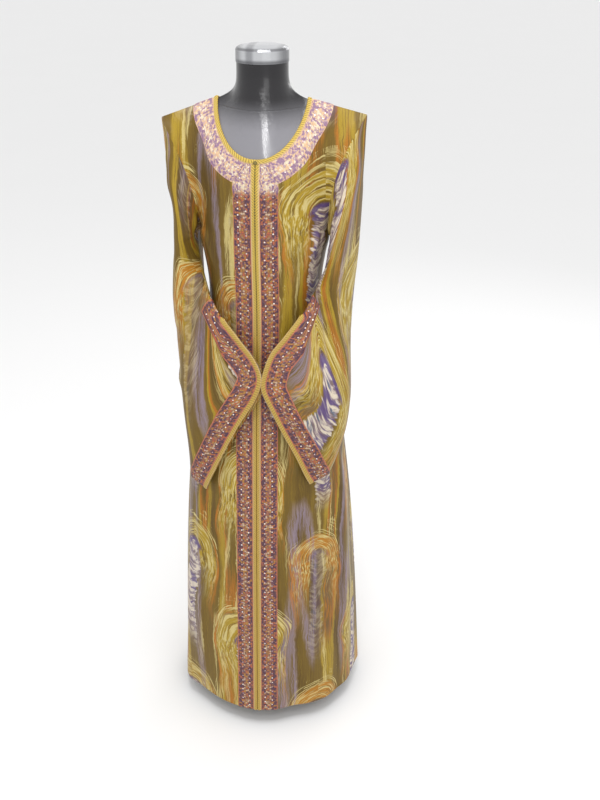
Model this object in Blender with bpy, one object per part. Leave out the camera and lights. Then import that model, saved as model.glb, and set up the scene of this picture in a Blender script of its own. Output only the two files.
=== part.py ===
"""Long front-opening kaftan on a limbless dress form, in metres, +Z up, front towards -Y.

The origin is the middle of the stand's underside. The wearer's left is +X. Every panel is a grid of points
on the draped surface, thickened inwards to a cloth wall. Trims and braids use the same points, moved out.
"""

import math

import bpy
import numpy as np

# Cloth, trim and seam sizes
WALL = 0.0016
SEAM = 0.0003
TRIM_WALL = 0.0013
BRAID_WALL = 0.0022
SKIN_GAP = 0.0006
BRAID_WIDTH = 0.010
TRIM_WIDTH = 0.044
STRIP_HALF = 0.0088
PLACKET_WIDTH = 0.037

# Neck, shoulder and armhole
NECK_HALF = 0.0915
NECK_TOP_Z = 1.4450
NECK_FRONT = (-0.1000, 1.3400)
NECK_BACK = (0.0620, 1.4240)
TIP_X = 0.2115
TIP_Z = {1: 1.4150, -1: 1.4010}
ARMPIT_Z = 1.1650
ARM_SCOOP = 0.022
ARM_BULGE = 0.040
CHEST_FULL = 0.012

# height, half width, depth in front, depth behind
BODY = (
    (1.165, 0.1380, 0.1190, 0.0980),
    (1.120, 0.1300, 0.1180, 0.0930),
    (1.060, 0.1220, 0.1145, 0.0890),
    (1.000, 0.1250, 0.1160, 0.0930),
    (0.930, 0.1370, 0.1230, 0.1050),
    (0.850, 0.1520, 0.1340, 0.1200),
    (0.750, 0.1680, 0.1470, 0.1350),
    (0.600, 0.1860, 0.1610, 0.1520),
    (0.450, 0.1985, 0.1730, 0.1660),
    (0.250, 0.2090, 0.1850, 0.1800),
    (0.045, 0.2165, 0.1960, 0.1910),
)
ROW_Z = (1.165, 1.125, 1.085, 1.045, 1.005, 0.965, 0.92, 0.87, 0.815, 0.755, 0.69, 0.62, 0.545,
         0.465, 0.385, 0.305, 0.225, 0.16, 0.10, 0.045)

# height, half width, depth in front, depth behind of the form below the bust
FORM = (
    (1.165, 0.1355, 0.1165, 0.0955),
    (1.120, 0.1230, 0.1090, 0.0860),
    (1.060, 0.1100, 0.0960, 0.0780),
    (1.000, 0.1130, 0.0980, 0.0850),
    (0.930, 0.1260, 0.1060, 0.0950),
    (0.870, 0.1360, 0.1140, 0.1050),
    (0.835, 0.1340, 0.1120, 0.1040),
    (0.812, 0.1180, 0.0980, 0.0920),
    (0.805, 0.0850, 0.0700, 0.0680),
)
NECK_RADIUS = 0.0525
NECK_END_Z = 1.5140
CAP_TOP_Z = 1.5450
POLE_RADIUS = 0.0110
BASE_RADIUS = 0.1300
BASE_HEIGHT = 0.0120

# share of the way down, outer edge x y z, inner edge x y z, bulge x y of each sleeve's rings
SLEEVE_RIGHT = (
    (0.00, 0.2115, 0.000, 1.4010, 0.1380, 0.000, 1.1650, -0.022, -0.040),
    (0.12, 0.2050, -0.004, 1.3300, 0.1410, -0.006, 1.1520, -0.004, -0.050),
    (0.24, 0.1860, -0.012, 1.2430, 0.1400, -0.018, 1.1350, 0.006, -0.055),
    (0.36, 0.1860, -0.022, 1.1270, 0.1340, -0.040, 1.1050, 0.012, -0.052),
    (0.48, 0.1890, -0.035, 1.0170, 0.1220, -0.066, 1.0770, 0.016, -0.042),
    (0.60, 0.1830, -0.048, 0.9300, 0.1070, -0.088, 1.0500, 0.016, -0.034),
)
SLEEVE_LEFT = (
    (0.00, 0.2115, 0.000, 1.4150, 0.1380, 0.000, 1.1650, -0.022, -0.040),
    (0.12, 0.2090, -0.004, 1.3350, 0.1410, -0.006, 1.1520, -0.010, -0.054),
    (0.24, 0.2040, -0.012, 1.2450, 0.1410, -0.018, 1.1370, -0.010, -0.062),
    (0.36, 0.2010, -0.022, 1.1400, 0.1370, -0.040, 1.1100, -0.008, -0.060),
    (0.48, 0.1940, -0.035, 1.0340, 0.1260, -0.066, 1.0850, -0.002, -0.050),
    (0.60, 0.1920, -0.048, 0.9400, 0.1150, -0.088, 1.0600, 0.006, -0.038),
)
# share from the outer to the inner corner, x y z of a line up the sleeve, of the trim's inner line, of the mouth
MOUTH_RIGHT = (
    (0.00, 0.162, -0.080, 0.745, 0.160, -0.104, 0.630, 0.1130, -0.138, 0.6090),
    (0.10, 0.158, -0.100, 0.752, 0.146, -0.118, 0.652, 0.0960, -0.141, 0.6440),
    (0.22, 0.149, -0.116, 0.770, 0.121, -0.132, 0.706, 0.0680, -0.145, 0.7030),
    (0.36, 0.131, -0.127, 0.798, 0.085, -0.142, 0.785, 0.0290, -0.150, 0.7850),
    (0.50, 0.110, -0.133, 0.835, 0.046, -0.148, 0.833, -0.0050, -0.156, 0.8450),
    (0.62, 0.096, -0.135, 0.868, 0.032, -0.151, 0.866, -0.0140, -0.160, 0.8830),
    (0.74, 0.087, -0.133, 0.906, 0.032, -0.148, 0.898, -0.0100, -0.159, 0.9200),
    (0.86, 0.083, -0.126, 0.950, 0.049, -0.138, 0.938, 0.0160, -0.148, 0.9560),
    (0.95, 0.084, -0.117, 0.990, 0.068, -0.124, 0.980, 0.0480, -0.130, 0.9860),
    (1.00, 0.087, -0.108, 1.021, 0.077, -0.114, 1.008, 0.0690, -0.115, 1.0046),
)
MOUTH_LEFT = (
    (0.00, 0.191, -0.076, 0.775, 0.160, -0.106, 0.662, 0.1130, -0.138, 0.6370),
    (0.10, 0.186, -0.100, 0.780, 0.150, -0.120, 0.676, 0.0990, -0.141, 0.6660),
    (0.22, 0.175, -0.116, 0.795, 0.131, -0.134, 0.724, 0.0780, -0.145, 0.7170),
    (0.36, 0.157, -0.127, 0.818, 0.103, -0.143, 0.790, 0.0450, -0.150, 0.7870),
    (0.50, 0.136, -0.133, 0.850, 0.075, -0.148, 0.840, 0.0250, -0.155, 0.8420),
    (0.62, 0.121, -0.135, 0.882, 0.063, -0.150, 0.876, 0.0205, -0.159, 0.8830),
    (0.74, 0.111, -0.133, 0.920, 0.060, -0.147, 0.918, 0.0225, -0.158, 0.9280),
    (0.86, 0.105, -0.126, 0.963, 0.076, -0.138, 0.958, 0.0450, -0.147, 0.9640),
    (0.95, 0.104, -0.117, 1.003, 0.091, -0.124, 0.997, 0.0730, -0.130, 0.9990),
    (1.00, 0.1055, -0.108, 1.036, 0.0965, -0.114, 1.023, 0.0890, -0.115, 1.0186),
)
# share of the way down, bulge x y past the chord rings
BULGE = ((0.60, 0.016, -0.034), (0.78, 0.010, -0.024), (0.90, 0.006, -0.017), (1.00, 0.004, -0.010))
BAND_T = 0.90
RING_T = (0.0, 0.05, 0.11, 0.17, 0.24, 0.31, 0.38, 0.45, 0.52, 0.59, 0.66, 0.73, 0.81, 0.90, 0.938, 0.976, 1.0)

# Grid counts
SKIRT_COLUMNS = 9
ARM_SEGMENTS = 10
RAYS = SKIRT_COLUMNS + ARM_SEGMENTS
TRIM_STEPS = (0.0, BRAID_WIDTH, BRAID_WIDTH + TRIM_WIDTH / 2, BRAID_WIDTH + TRIM_WIDTH)
REST_STEPS = 5
EVEN_ROUNDS = 14


def curve(table, at):
    """The table's other columns at this value of its first, by a smooth curve through its rows."""
    rows = np.array(table)
    keys, values = rows[:, 0], rows[:, 1:]
    if keys[0] > keys[-1]:
        keys, values = keys[::-1], values[::-1]
    at = min(max(at, keys[0]), keys[-1])
    k = int(min(max(np.searchsorted(keys, at) - 1, 0), len(keys) - 2))
    step = np.diff(keys)
    slope = np.diff(values, axis=0) / step[:, None]
    tangent = np.vstack([slope[:1], (slope[1:] + slope[:-1]) / 2, slope[-1:]])
    f = (at - keys[k]) / step[k]
    h = (2 * f**3 - 3 * f**2 + 1, f**3 - 2 * f**2 + f, -2 * f**3 + 3 * f**2, f**3 - f**2)
    return (h[0] * values[k] + h[1] * step[k] * tangent[k] + h[2] * values[k + 1]
            + h[3] * step[k] * tangent[k + 1])


def unit(v):
    return v / np.linalg.norm(v)


def body_point(angle, z):
    """A point of the hanging cloth: angle 0 is the middle of the front and pi/2 the wearer's left side."""
    width, front, behind = curve(BODY, z)
    depth = front if math.cos(angle) > 0 else behind
    low = min(max((0.95 - z) / 0.9, 0.0), 1.0)
    middle = math.exp(-((angle / 0.42) ** 2))
    fold = 0.55 * math.cos(7 * angle + 0.6) + 0.45 * math.cos(11 * angle - 0.9)
    fold *= 0.0075 * low**1.3 * (1 - middle)
    bulge = 0.010 * low**2 * middle
    reach = 1 + (fold + bulge) / 0.19
    return np.array([width * math.sin(angle) * reach, -depth * math.cos(angle) * reach, z])


def side_angles(z, front):
    """Angles of one half panel's columns, from the middle to the side, with lines along strip and trim."""
    width = curve(BODY, z)[0]
    last = math.pi / 2
    if not front:
        return [last * k / SKIRT_COLUMNS for k in range(SKIRT_COLUMNS + 1)]
    edge = [0.0, math.asin(STRIP_HALF / width), math.asin((STRIP_HALF + PLACKET_WIDTH) / width)]
    left = SKIRT_COLUMNS - 2
    return edge + [edge[2] + (last - edge[2]) * k / left for k in range(1, left + 1)]


def armhole(theta, side, front):
    """The armhole edge: theta 0 is the shoulder tip and pi the armpit."""
    tip = np.array([TIP_X, 0.0, TIP_Z[side]])
    pit = np.array([BODY[0][1], 0.0, ARMPIT_Z])
    out = (tip + pit) / 2 + (tip - pit) / 2 * math.cos(theta)
    out[0] -= ARM_SCOOP * math.sin(theta) ** 2
    out[1] = (-ARM_BULGE if front else ARM_BULGE) * math.sin(theta) ** (1.7 if theta > math.pi / 2 else 1.0)
    return out


def neckline(psi, front):
    """The neck edge: psi 0 is its middle and pi/2 the high point at the shoulder."""
    y, z = NECK_FRONT if front else NECK_BACK
    drop = math.cos(psi) ** 1.15 if front else math.cos(psi)
    across = math.sin(psi) ** (0.92 if front else 1.0)
    return np.array([NECK_HALF * across, y * drop, NECK_TOP_Z + (z - NECK_TOP_Z) * drop])


def shoulder_normal(side):
    slope = unit(np.array([TIP_X - NECK_HALF, 0.0, TIP_Z[side] - NECK_TOP_Z]))
    return np.array([-slope[2], 0.0, slope[0]])


def upper(side, front):
    """Grid of the part above the armpits: rays from the neck edge to the bust row and the armhole."""
    facing = -1.0 if front else 1.0
    top = shoulder_normal(side)
    chest = unit(np.array([0.0, facing * (0.94 if front else 0.80), 0.35 if front else 0.6]))
    angles = side_angles(ARMPIT_Z, front)
    grid = []
    for ray in range(RAYS + 1):
        share = ray / RAYS
        psi = math.pi / 2 * share
        if front and ray < 3:
            psi = (0.0, 0.055, 0.115)[ray]
        elif front:
            psi = 0.115 + (math.pi / 2 - 0.115) * (ray - 2) / (RAYS - 2)
        start = neckline(psi, front)
        blend = math.sin(psi) ** 2
        n0 = unit(chest * (1 - blend) + top * blend)
        if ray <= SKIRT_COLUMNS:
            angle = angles[ray]
            end = body_point(angle if front else math.pi - angle, ARMPIT_Z)
            n1 = unit(np.array([math.sin(angle), facing * math.cos(angle), 0.0]))
            turn = (ray / SKIRT_COLUMNS) ** 4
            away = unit(np.array([math.cos(angle), -facing * math.sin(angle), 0.0]) * turn
                        + np.array([0.0, 0.0, turn - 1.0]))
        else:
            theta = math.pi * (1 - (ray - SKIRT_COLUMNS) / ARM_SEGMENTS)
            end = armhole(theta, side, front)
            s = math.sin(theta)
            ends = np.array([1.0, 0.0, 0.0]) if theta > math.pi / 2 else top
            n1 = unit(ends * (1 - 0.8 * s) + np.array([0.35, facing, 0.12]) * 0.8 * s)
            edge = armhole(theta + 0.01, side, front) - armhole(theta - 0.01, side, front)
            away = unit(np.cross(edge, n1)) * facing
        chord = end - start
        size = np.linalg.norm(chord)
        m0 = unit(chord - n0 * (chord @ n0)) * size
        m1 = away * size * (0.75 if ray <= SKIRT_COLUMNS - 2 else 0.55)
        full = CHEST_FULL * (1.0 if front else 2.0) * math.sin(math.pi * min(max((share - 0.12) / 0.88, 0.0), 1.0)) ** 1.2

        def at(f):
            h = (2 * f**3 - 3 * f**2 + 1, f**3 - 2 * f**2 + f, -2 * f**3 + 3 * f**2, f**3 - f**2)
            p = h[0] * start + h[1] * m0 + h[2] * end + h[3] * m1
            return p + np.array([0.15, facing, 0.1]) * full * math.sin(math.pi * f) ** 2

        fine = [at(k / 60) for k in range(61)]
        far = np.cumsum([0.0] + [np.linalg.norm(b - a) for a, b in zip(fine, fine[1:])])
        stops = list(TRIM_STEPS)
        stops += [stops[-1] + (far[-1] - stops[-1]) * k / REST_STEPS for k in range(1, REST_STEPS + 1)]
        points = [at(float(np.interp(stop, far, np.arange(61) / 60))) for stop in stops]
        grid.append(points)
    grid = np.array(grid)
    # The cloth between the trim, the bust row and the armhole is evened out, with its edges kept
    level = np.full(grid.shape[:2], 1.0)
    level[:SKIRT_COLUMNS - 2] = 0.35
    for _ in range(EVEN_ROUNDS):
        middle = (grid[:-2, 4:-1] + grid[2:, 4:-1] + grid[1:-1, 3:-2] + grid[1:-1, 5:]) / 4
        grid[1:-1, 4:-1] += (middle - grid[1:-1, 4:-1]) * level[1:-1, 4:-1, None] * 0.8
    for ray, share in ((7, 0.3), (8, 0.7), (9, 1.0), (10, 0.9), (11, 0.6), (12, 0.3)):
        grid[ray, -2] += np.array([-0.002, facing * 0.007, -0.014]) * share
        grid[ray, -3] += np.array([-0.001, facing * 0.003, -0.007]) * share
    if front:
        # Lines along the strip, the placket trim and its mitre, with the next rays spread beyond them
        last = SKIRT_COLUMNS - 1
        for k in range(1, grid.shape[1] - 1):
            own = grid[:last + 1, k].copy()
            reach = min(k / 3, 1.0)
            mitre = STRIP_HALF + 0.0006 + (PLACKET_WIDTH - 0.0006) * reach
            stops = [0.0, STRIP_HALF, mitre] + [mitre + (own[last, 0] - mitre) * (r - 2) / (last - 2)
                                                for r in range(3, last)]
            for ray, x in enumerate(stops):
                grid[ray, k] = [x, np.interp(x, own[:, 0], own[:, 1]), np.interp(x, own[:, 0], own[:, 2])]
    return grid


def lower(side, front):
    """Grid of the part below the armpits, one column for each of the first rays."""
    grid = []
    for column in range(SKIRT_COLUMNS + 1):
        line = []
        for z in ROW_Z:
            angle = side_angles(z, front)[column] * side
            p = body_point(angle if front else math.pi - angle, z)
            line.append(p * np.array([side, 1.0, 1.0]))
        grid.append(line)
    return np.array(grid)


class Sheet:
    """Points, their outward directions and four-cornered faces of one piece of cloth."""

    def __init__(self):
        self.points, self.faces, self.index = [], [], {}

    def add(self, p):
        key = tuple(np.round(np.asarray(p) / 2e-6).astype(int))
        if key not in self.index:
            self.index[key] = len(self.points)
            self.points.append(np.array(p, float))
        return self.index[key]

    def grid(self, points, flip, turn=False):
        ids = [[self.add(p) for p in line] for line in points]
        for a, b in zip(ids, ids[1:]):
            for k in range(len(a) - 1):
                face = (a[k], b[k], b[k + 1], a[k + 1])
                face = face[::-1] if flip else face
                self.faces.append(face[1:] + face[:1] if turn else face)
        return ids

    def normals(self):
        p = np.array(self.points)
        total = np.zeros_like(p)
        for a, b, c, d in self.faces:
            n = np.cross(p[c] - p[a], p[d] - p[b])
            for corner in (a, b, c, d):
                total[corner] += n / (np.linalg.norm(n) ** 0.5 + 1e-12)
        return total / np.linalg.norm(total, axis=1)[:, None]


def solid(name, points, normals, faces, inner, outer):
    """A closed wall between two distances from the points, from four-cornered faces."""
    points, normals = np.array(points), np.array(normals)
    count = len(points)
    corners = np.vstack([points + normals * outer, points + normals * inner])
    made = []
    used = {}
    for a, b, c, d in faces:
        made += [(a, b, c), (a, c, d)]
        made += [(a + count, c + count, b + count), (a + count, d + count, c + count)]
        for edge in ((a, b), (b, c), (c, d), (d, a)):
            used[edge] = used.get(edge, 0) + 1
    for a, b in used:
        if (b, a) not in used:
            made += [(a, a + count, b + count), (a, b + count, b)]
    mesh = bpy.data.meshes.new(name)
    mesh.from_pydata(corners.tolist(), [], made)
    mesh.update()
    piece = bpy.data.objects.new(name, mesh)
    bpy.context.scene.collection.objects.link(piece)
    return piece


def paint(piece, name, colour, metallic, roughness):
    material = bpy.data.materials.get(name)
    if material is None:
        material = bpy.data.materials.new(name)
        material.use_nodes = True
        shader = material.node_tree.nodes["Principled BSDF"]
        shader.inputs["Base Color"].default_value = (*colour, 1.0)
        shader.inputs["Metallic"].default_value = metallic
        shader.inputs["Roughness"].default_value = roughness
    piece.data.materials.append(material)


def mirrored(points, side):
    return np.array(points) * np.array([side, 1.0, 1.0])


def seamed(points, side, front):
    """The half panel's points with half a seam gap left along the middle, shoulder and side."""
    out = np.array(points)
    back = SEAM / 2 if not front else -SEAM / 2
    out[np.abs(out[..., 1]) < 1e-7, 1] = back
    if front:
        out[np.abs(out[..., 0]) < 1e-7, 0] = side * SEAM / 2
    return out


def straighten(points, normals, front):
    """Outward directions at seams agree on both sides of the seam."""
    for p, n in zip(points, normals):
        if abs(p[1]) < SEAM:
            n[1] = 0.0
        if abs(p[0]) < SEAM:
            n[0] = 0.0
        n /= np.linalg.norm(n)
    return normals


def clear_of_body(p, margin):
    """The point moved out from the hanging cloth where it is nearer than the margin."""
    rise = (p[2] - ARMPIT_Z) / 0.02
    if rise > 1.0:
        return p
    margin *= 1 - max(rise, 0.0)
    width, front, behind = curve(BODY, p[2])
    low = min(max((0.95 - p[2]) / 0.9, 0.0), 1.0)
    depth = front + 0.010 * low**2 if p[1] < 0 else behind
    flat = math.hypot(p[0], p[1])
    ratio = math.hypot(p[0] / width, p[1] / depth)
    least = 1 + margin * ratio / flat
    soft = math.log(math.exp(70 * (ratio - least)) + 1) / 70 + least
    return np.array([p[0] * soft / ratio, p[1] * soft / ratio, p[2]])


def sleeve_rings(side):
    """Rings of the sleeve from the armhole to the mouth: the first half of each is the front layer."""
    table, mouth = (SLEEVE_LEFT, MOUTH_LEFT) if side > 0 else (SLEEVE_RIGHT, MOUTH_RIGHT)
    rings = []
    for t in RING_T:
        early = max(0.0, 1 - t / 0.24)
        late = min(max((t - 0.36) / (BAND_T - 0.36), 0.0), 1.0)
        late = late * late * (3 - 2 * late)
        bx, by = curve(table, t)[6:8] if t <= 0.6 else curve(BULGE, t)
        ring = []
        for k in range(2 * ARM_SEGMENTS):
            theta = math.pi * k / ARM_SEGMENTS
            s, share = math.sin(theta), (1 - math.cos(theta)) / 2
            if t == 0.0:
                p = armhole(theta if theta <= math.pi else 2 * math.pi - theta, side, theta <= math.pi)
                p[0] += (3 + 7 * max(0.0, -math.cos(theta)) ** 2) * SEAM
                ring.append(p)
                continue
            line = curve(mouth, share)
            path = [(row[0], *(np.array(row[1:4]) * (1 - share) + np.array(row[4:7]) * share)) for row in table]
            path += [(0.78, *line[:3]), (BAND_T, *line[3:6]), (1.0, *line[6:9])]
            p = curve(path, t)
            thin = min(max((share - 0.45) / 0.3, 0.0), 1.0) * late
            closed = 1 - 0.62 * thin
            across = bx * s if s > 0 else bx * (s * (1 - early) - s * early)
            p = p + np.array([across, by * s, 0.0]) * closed
            if s < 0:
                p[2] += 0.008 * s * thin
            near = 0.0085 + 0.0045 * late
            p = clear_of_body(p, near + 0.011 * max(0.0, s) * closed)
            ring.append(p)
        rings.append(ring)
    return np.array(rings)


def strip(name, points, normals, low, high, flip, turn=True, closed=False):
    """A narrow wall over a grid of points: first index along it, second across it."""
    sheet = Sheet()
    lines = [list(line) for line in points]
    if closed:
        lines.append(lines[0])
    sheet.grid(lines, flip, turn)
    table = {}
    for line, ns in zip(points, normals):
        for p, n in zip(line, ns):
            table[tuple(np.round(np.asarray(p) / 2e-6).astype(int))] = n
    ns = [table[tuple(np.round(p / 2e-6).astype(int))] for p in sheet.points]
    return solid(name, sheet.points, ns, sheet.faces, low, high)


def inset(points, first, last, gap=SEAM / 2):
    """The grid with its outer lines moved in by half a seam gap: across, and along when asked."""
    out = np.array(points)
    across0 = out[:, 1] - out[:, 0]
    across1 = out[:, -1] - out[:, -2]
    out[:, 0] += across0 * np.minimum(gap / np.linalg.norm(across0, axis=1), 0.36)[:, None]
    out[:, -1] -= across1 * np.minimum(gap / np.linalg.norm(across1, axis=1), 0.36)[:, None]
    if first:
        along = out[1] - out[0]
        out[0] += along / np.linalg.norm(along, axis=1)[:, None] * gap
    if last:
        along = out[-1] - out[-2]
        out[-1] -= along / np.linalg.norm(along, axis=1)[:, None] * gap
    return out


for item in list(bpy.data.objects):
    bpy.data.objects.remove(item)

CLOTH = ("printed satin", (0.42, 0.34, 0.13), 0.0, 0.5)
TRIM = ("embroidered trim", (0.42, 0.17, 0.16), 0.0, 0.6)
BRAID = ("yellow braid", (0.62, 0.48, 0.12), 0.0, 0.55)
BLACK = ("black gloss", (0.03, 0.03, 0.035), 0.0, 0.2)
CHROME = ("chrome", (0.75, 0.76, 0.78), 1.0, 0.12)
STEEL = ("dark metal", (0.12, 0.12, 0.125), 1.0, 0.35)

# Front panels, one each side of the opening
halves = {}
for side, name in ((1, "front_left"), (-1, "front_right")):
    up = seamed(mirrored(upper(side, True), side), side, True)
    down = seamed(mirrored(lower(side, True), side), side, True)
    sheet = Sheet()
    flip = side > 0
    sheet.grid(up, flip)
    sheet.grid(down, flip)
    normals = straighten(sheet.points, sheet.normals(), True)
    piece = solid(name, sheet.points, normals, sheet.faces, -WALL, 0.0)
    paint(piece, *CLOTH)
    look = {tuple(np.round(p / 2e-6).astype(int)): n for p, n in zip(sheet.points, normals)}
    halves[side, True] = (up, down, look)

# Back panel, one piece across both halves
sheet = Sheet()
for side in (1, -1):
    up = seamed(mirrored(upper(side, False), side), side, False)
    down = seamed(mirrored(lower(side, False), side), side, False)
    sheet.grid(up, side < 0)
    sheet.grid(down, side < 0)
    halves[side, False] = (up, down, None)
normals = straighten(sheet.points, sheet.normals(), False)
back_look = {tuple(np.round(p / 2e-6).astype(int)): n for p, n in zip(sheet.points, normals)}
for side in (1, -1):
    halves[side, False] = (*halves[side, False][:2], back_look)
piece = solid("back", sheet.points, normals, sheet.faces, -WALL, 0.0)
paint(piece, *CLOTH)


def normal_of(side, front, grid):
    look = halves[side, front][2]
    return np.array([[look[tuple(np.round(p / 2e-6).astype(int))] for p in line] for line in grid])


# Neck trim and neck braid, over the front, shoulder and back
neck_points, neck_normals = [], []
for side, front, order in ((-1, True, 1), (-1, False, -1), (1, False, 1), (1, True, -1)):
    up = halves[side, front][0][:, :4]
    ns = normal_of(side, front, up)
    lines = list(range(RAYS + 1))[::order]
    if neck_points:
        middle = (neck_points[-1] + up[lines[0]]) / 2
        neck_points[-1] = middle
        lines = lines[1:]
    neck_points += [up[k] for k in lines]
    neck_normals += [ns[k] for k in lines]
neck_points, neck_normals = np.array(neck_points), np.array(neck_normals)
piece = strip("neck_trim", inset(neck_points[2:-2, 1:], True, True), neck_normals[2:-2, 1:],
              SEAM, SEAM + TRIM_WALL, False, turn=False)
paint(piece, *TRIM)
piece = strip("neck_braid", inset(neck_points[:, :2], False, False), neck_normals[:, :2],
              SEAM, SEAM + BRAID_WALL, False, turn=False)
paint(piece, *BRAID)

# Placket trims and braids down both front edges
for side, word in ((1, "left"), (-1, "right")):
    up, down, _ = halves[side, True]
    lines = np.concatenate([up[:3, 1:], down[:3, 1:]], axis=1).swapaxes(0, 1)
    ns = np.concatenate([normal_of(side, True, up[:3, 1:]), normal_of(side, True, down[:3, 1:])],
                        axis=1).swapaxes(0, 1)
    trim = np.stack([lines[:, 1], lines[:, 2]], axis=1)
    trim_n = np.stack([ns[:, 1], ns[:, 2]], axis=1)
    piece = strip(f"placket_trim_{word}", inset(trim, True, False), trim_n, SEAM, SEAM + TRIM_WALL, side < 0)
    paint(piece, *TRIM)
    edge = inset(lines[:, :2], True, False)
    piece = strip(f"placket_braid_{word}", edge, ns[:, :2], SEAM, SEAM + BRAID_WALL, side < 0)
    paint(piece, *BRAID)

# Sleeves with their cuff trims and braids
for side, word in ((1, "left"), (-1, "right")):
    rings = mirrored(sleeve_rings(side), side)
    sheet = Sheet()
    looped = np.concatenate([rings, rings[:, :1]], axis=1)
    sheet.grid(looped, side > 0)
    normals = sheet.normals()
    table = {tuple(np.round(p / 2e-6).astype(int)): k for k, p in enumerate(sheet.points)}
    for k in range(2 * ARM_SEGMENTS):
        front = k <= ARM_SEGMENTS
        ray = RAYS - (k if front else 2 * ARM_SEGMENTS - k)
        up = halves[side, front][0][ray:ray + 1, -1:]
        own = normal_of(side, front, up)[0, 0]
        normals[table[tuple(np.round(rings[0, k] / 2e-6).astype(int))]] = own
    piece = solid(f"sleeve_{word}", sheet.points, normals, sheet.faces, -WALL, 0.0)
    paint(piece, *CLOTH)
    ns = np.array([[normals[table[tuple(np.round(p / 2e-6).astype(int))]] for p in ring] for ring in rings])
    band = rings[-4:-1].swapaxes(0, 1)
    piece = strip(f"cuff_trim_{word}", inset(band, False, False, 0.0004), ns[-4:-1].swapaxes(0, 1),
                  2 * SEAM, 2 * SEAM + TRIM_WALL, side < 0, closed=True)
    paint(piece, *TRIM)
    band = rings[-2:].swapaxes(0, 1)
    piece = strip(f"cuff_braid_{word}", inset(band, False, False, 0.0009), ns[-2:].swapaxes(0, 1),
                  2 * SEAM, SEAM + BRAID_WALL, side < 0, closed=True)
    paint(piece, *BRAID)

# Form torso: the panels' points moved in under the cloth, a cap in each armhole, the neck and the lower body
sheet = Sheet()
depth = WALL + SKIN_GAP
rows = {}
for side in (1, -1):
    for front in (True, False):
        up = halves[side, front][0]
        ns = normal_of(side, front, up)
        from_pit = np.linalg.norm(up - np.array([side * BODY[0][1], 0.0, ARMPIT_Z]), axis=2)
        near_pit = np.exp(-(from_pit / 0.05) ** 2)
        skin = up - ns * (depth + 0.0065 * near_pit)[..., None]
        skin[np.abs(up[..., 0]) < SEAM, 0] = 0.0
        skin[np.abs(up[..., 1]) < SEAM, 1] = 0.0
        rows[side, front] = skin
for side in (1, -1):
    for at in ((RAYS, slice(None)), (SKIRT_COLUMNS, -1)):
        shared = (rows[side, True][at] + rows[side, False][at]) / 2
        rows[side, True][at] = rows[side, False][at] = shared
for front in (True, False):
    shared = (rows[1, front][0] + rows[-1, front][0]) / 2
    rows[1, front][0] = rows[-1, front][0] = shared
for side in (1, -1):
    for front in (True, False):
        sheet.grid(rows[side, front], (side > 0) == front)
    front_edge = rows[side, True][SKIRT_COLUMNS:, -1]
    back_edge = rows[side, False][SKIRT_COLUMNS:, -1]
    cap = []
    for f in (0.0, 0.25, 0.5, 0.75, 1.0):
        line = front_edge * (1 - f) + back_edge * f
        wide = np.linalg.norm(front_edge - back_edge, axis=1)
        out = math.sin(math.pi * f) * wide * np.minimum(wide / 0.09, 1.0) ** 3 * 0.16
        line[:, 0] += side * out
        cap.append(line)
    ids = [[sheet.add(p) for p in line] for line in cap]
    for a, b in zip(ids, ids[1:]):
        for k in range(ARM_SEGMENTS):
            face = [a[k], b[k], b[k + 1], a[k + 1]]
            sheet.faces.append(tuple(face if side > 0 else face[::-1]))

loop = []
for side, front, order in ((1, True, 1), (1, False, -1), (-1, False, 1), (-1, True, -1)):
    loop += [(side, front, k) for k in list(range(RAYS + 1))[::order]][:-1]
levels = [[] for _ in range(7)]
for n, (side, front, k) in enumerate(loop):
    start = rows[side, front][k, 0]
    around = math.atan2(start[0], -start[1])
    end = np.array([NECK_RADIUS * math.sin(around), -NECK_RADIUS * math.cos(around), 1.488])
    rise = abs(math.cos(around))
    m0 = np.array([-start[0] * 0.9, -start[1] * 0.6, 0.03 + 0.12 * rise])
    m1 = np.array([0.0, 0.0, 0.07])
    for j in range(6):
        f = j / 5
        h = (2 * f**3 - 3 * f**2 + 1, f**3 - 2 * f**2 + f, -2 * f**3 + 3 * f**2, f**3 - f**2)
        levels[j].append(h[0] * start + h[1] * m0 + h[2] * end + h[3] * m1)
    levels[6].append(np.array([end[0], end[1], NECK_END_Z]))
ids = [[sheet.add(p) for p in level] for level in levels]
for a, b in zip(ids, ids[1:]):
    for k in range(len(a)):
        j = (k + 1) % len(a)
        sheet.faces.append((a[k], a[j], b[j], b[k]))
neck_ring = ids[-1]

ring = []
for side, front, order in ((1, True, 1), (1, False, -1), (-1, False, 1), (-1, True, -1)):
    ring += [(side, front, k) for k in list(range(SKIRT_COLUMNS + 1))[::order]][:-1]
body = []
for z, width, ahead, behind in FORM:
    line = []
    for side, front, k in ring:
        angle = side_angles(ARMPIT_Z, front)[k]
        p = np.array([side * width * math.sin(angle), (-ahead if front else behind) * math.cos(angle), z])
        if z == FORM[0][0]:
            p = rows[side, front][k, -1]
        line.append(sheet.add(p))
    body.append(line)
for a, b in zip(body, body[1:]):
    for k in range(len(a)):
        j = (k + 1) % len(a)
        sheet.faces.append((a[k], b[k], b[j], a[j]))

mesh = bpy.data.meshes.new("form_torso")
faces = []
for a, b, c, d in sheet.faces:
    faces += [t for t in ((a, b, c), (a, c, d)) if len(set(t)) == 3]
points = [p.tolist() for p in sheet.points]
for line, z, turn in ((neck_ring, NECK_END_Z, 1), (body[-1], FORM[-1][0], -1)):
    points.append([0.0, 0.0, z])
    hub = len(points) - 1
    for k in range(len(line)):
        j = (k + 1) % len(line)
        faces.append((line[k], line[j], hub)[::turn])
mesh.from_pydata(points, [], faces)
mesh.update()
piece = bpy.data.objects.new("form_torso", mesh)
bpy.context.scene.collection.objects.link(piece)
paint(piece, *BLACK)


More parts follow.
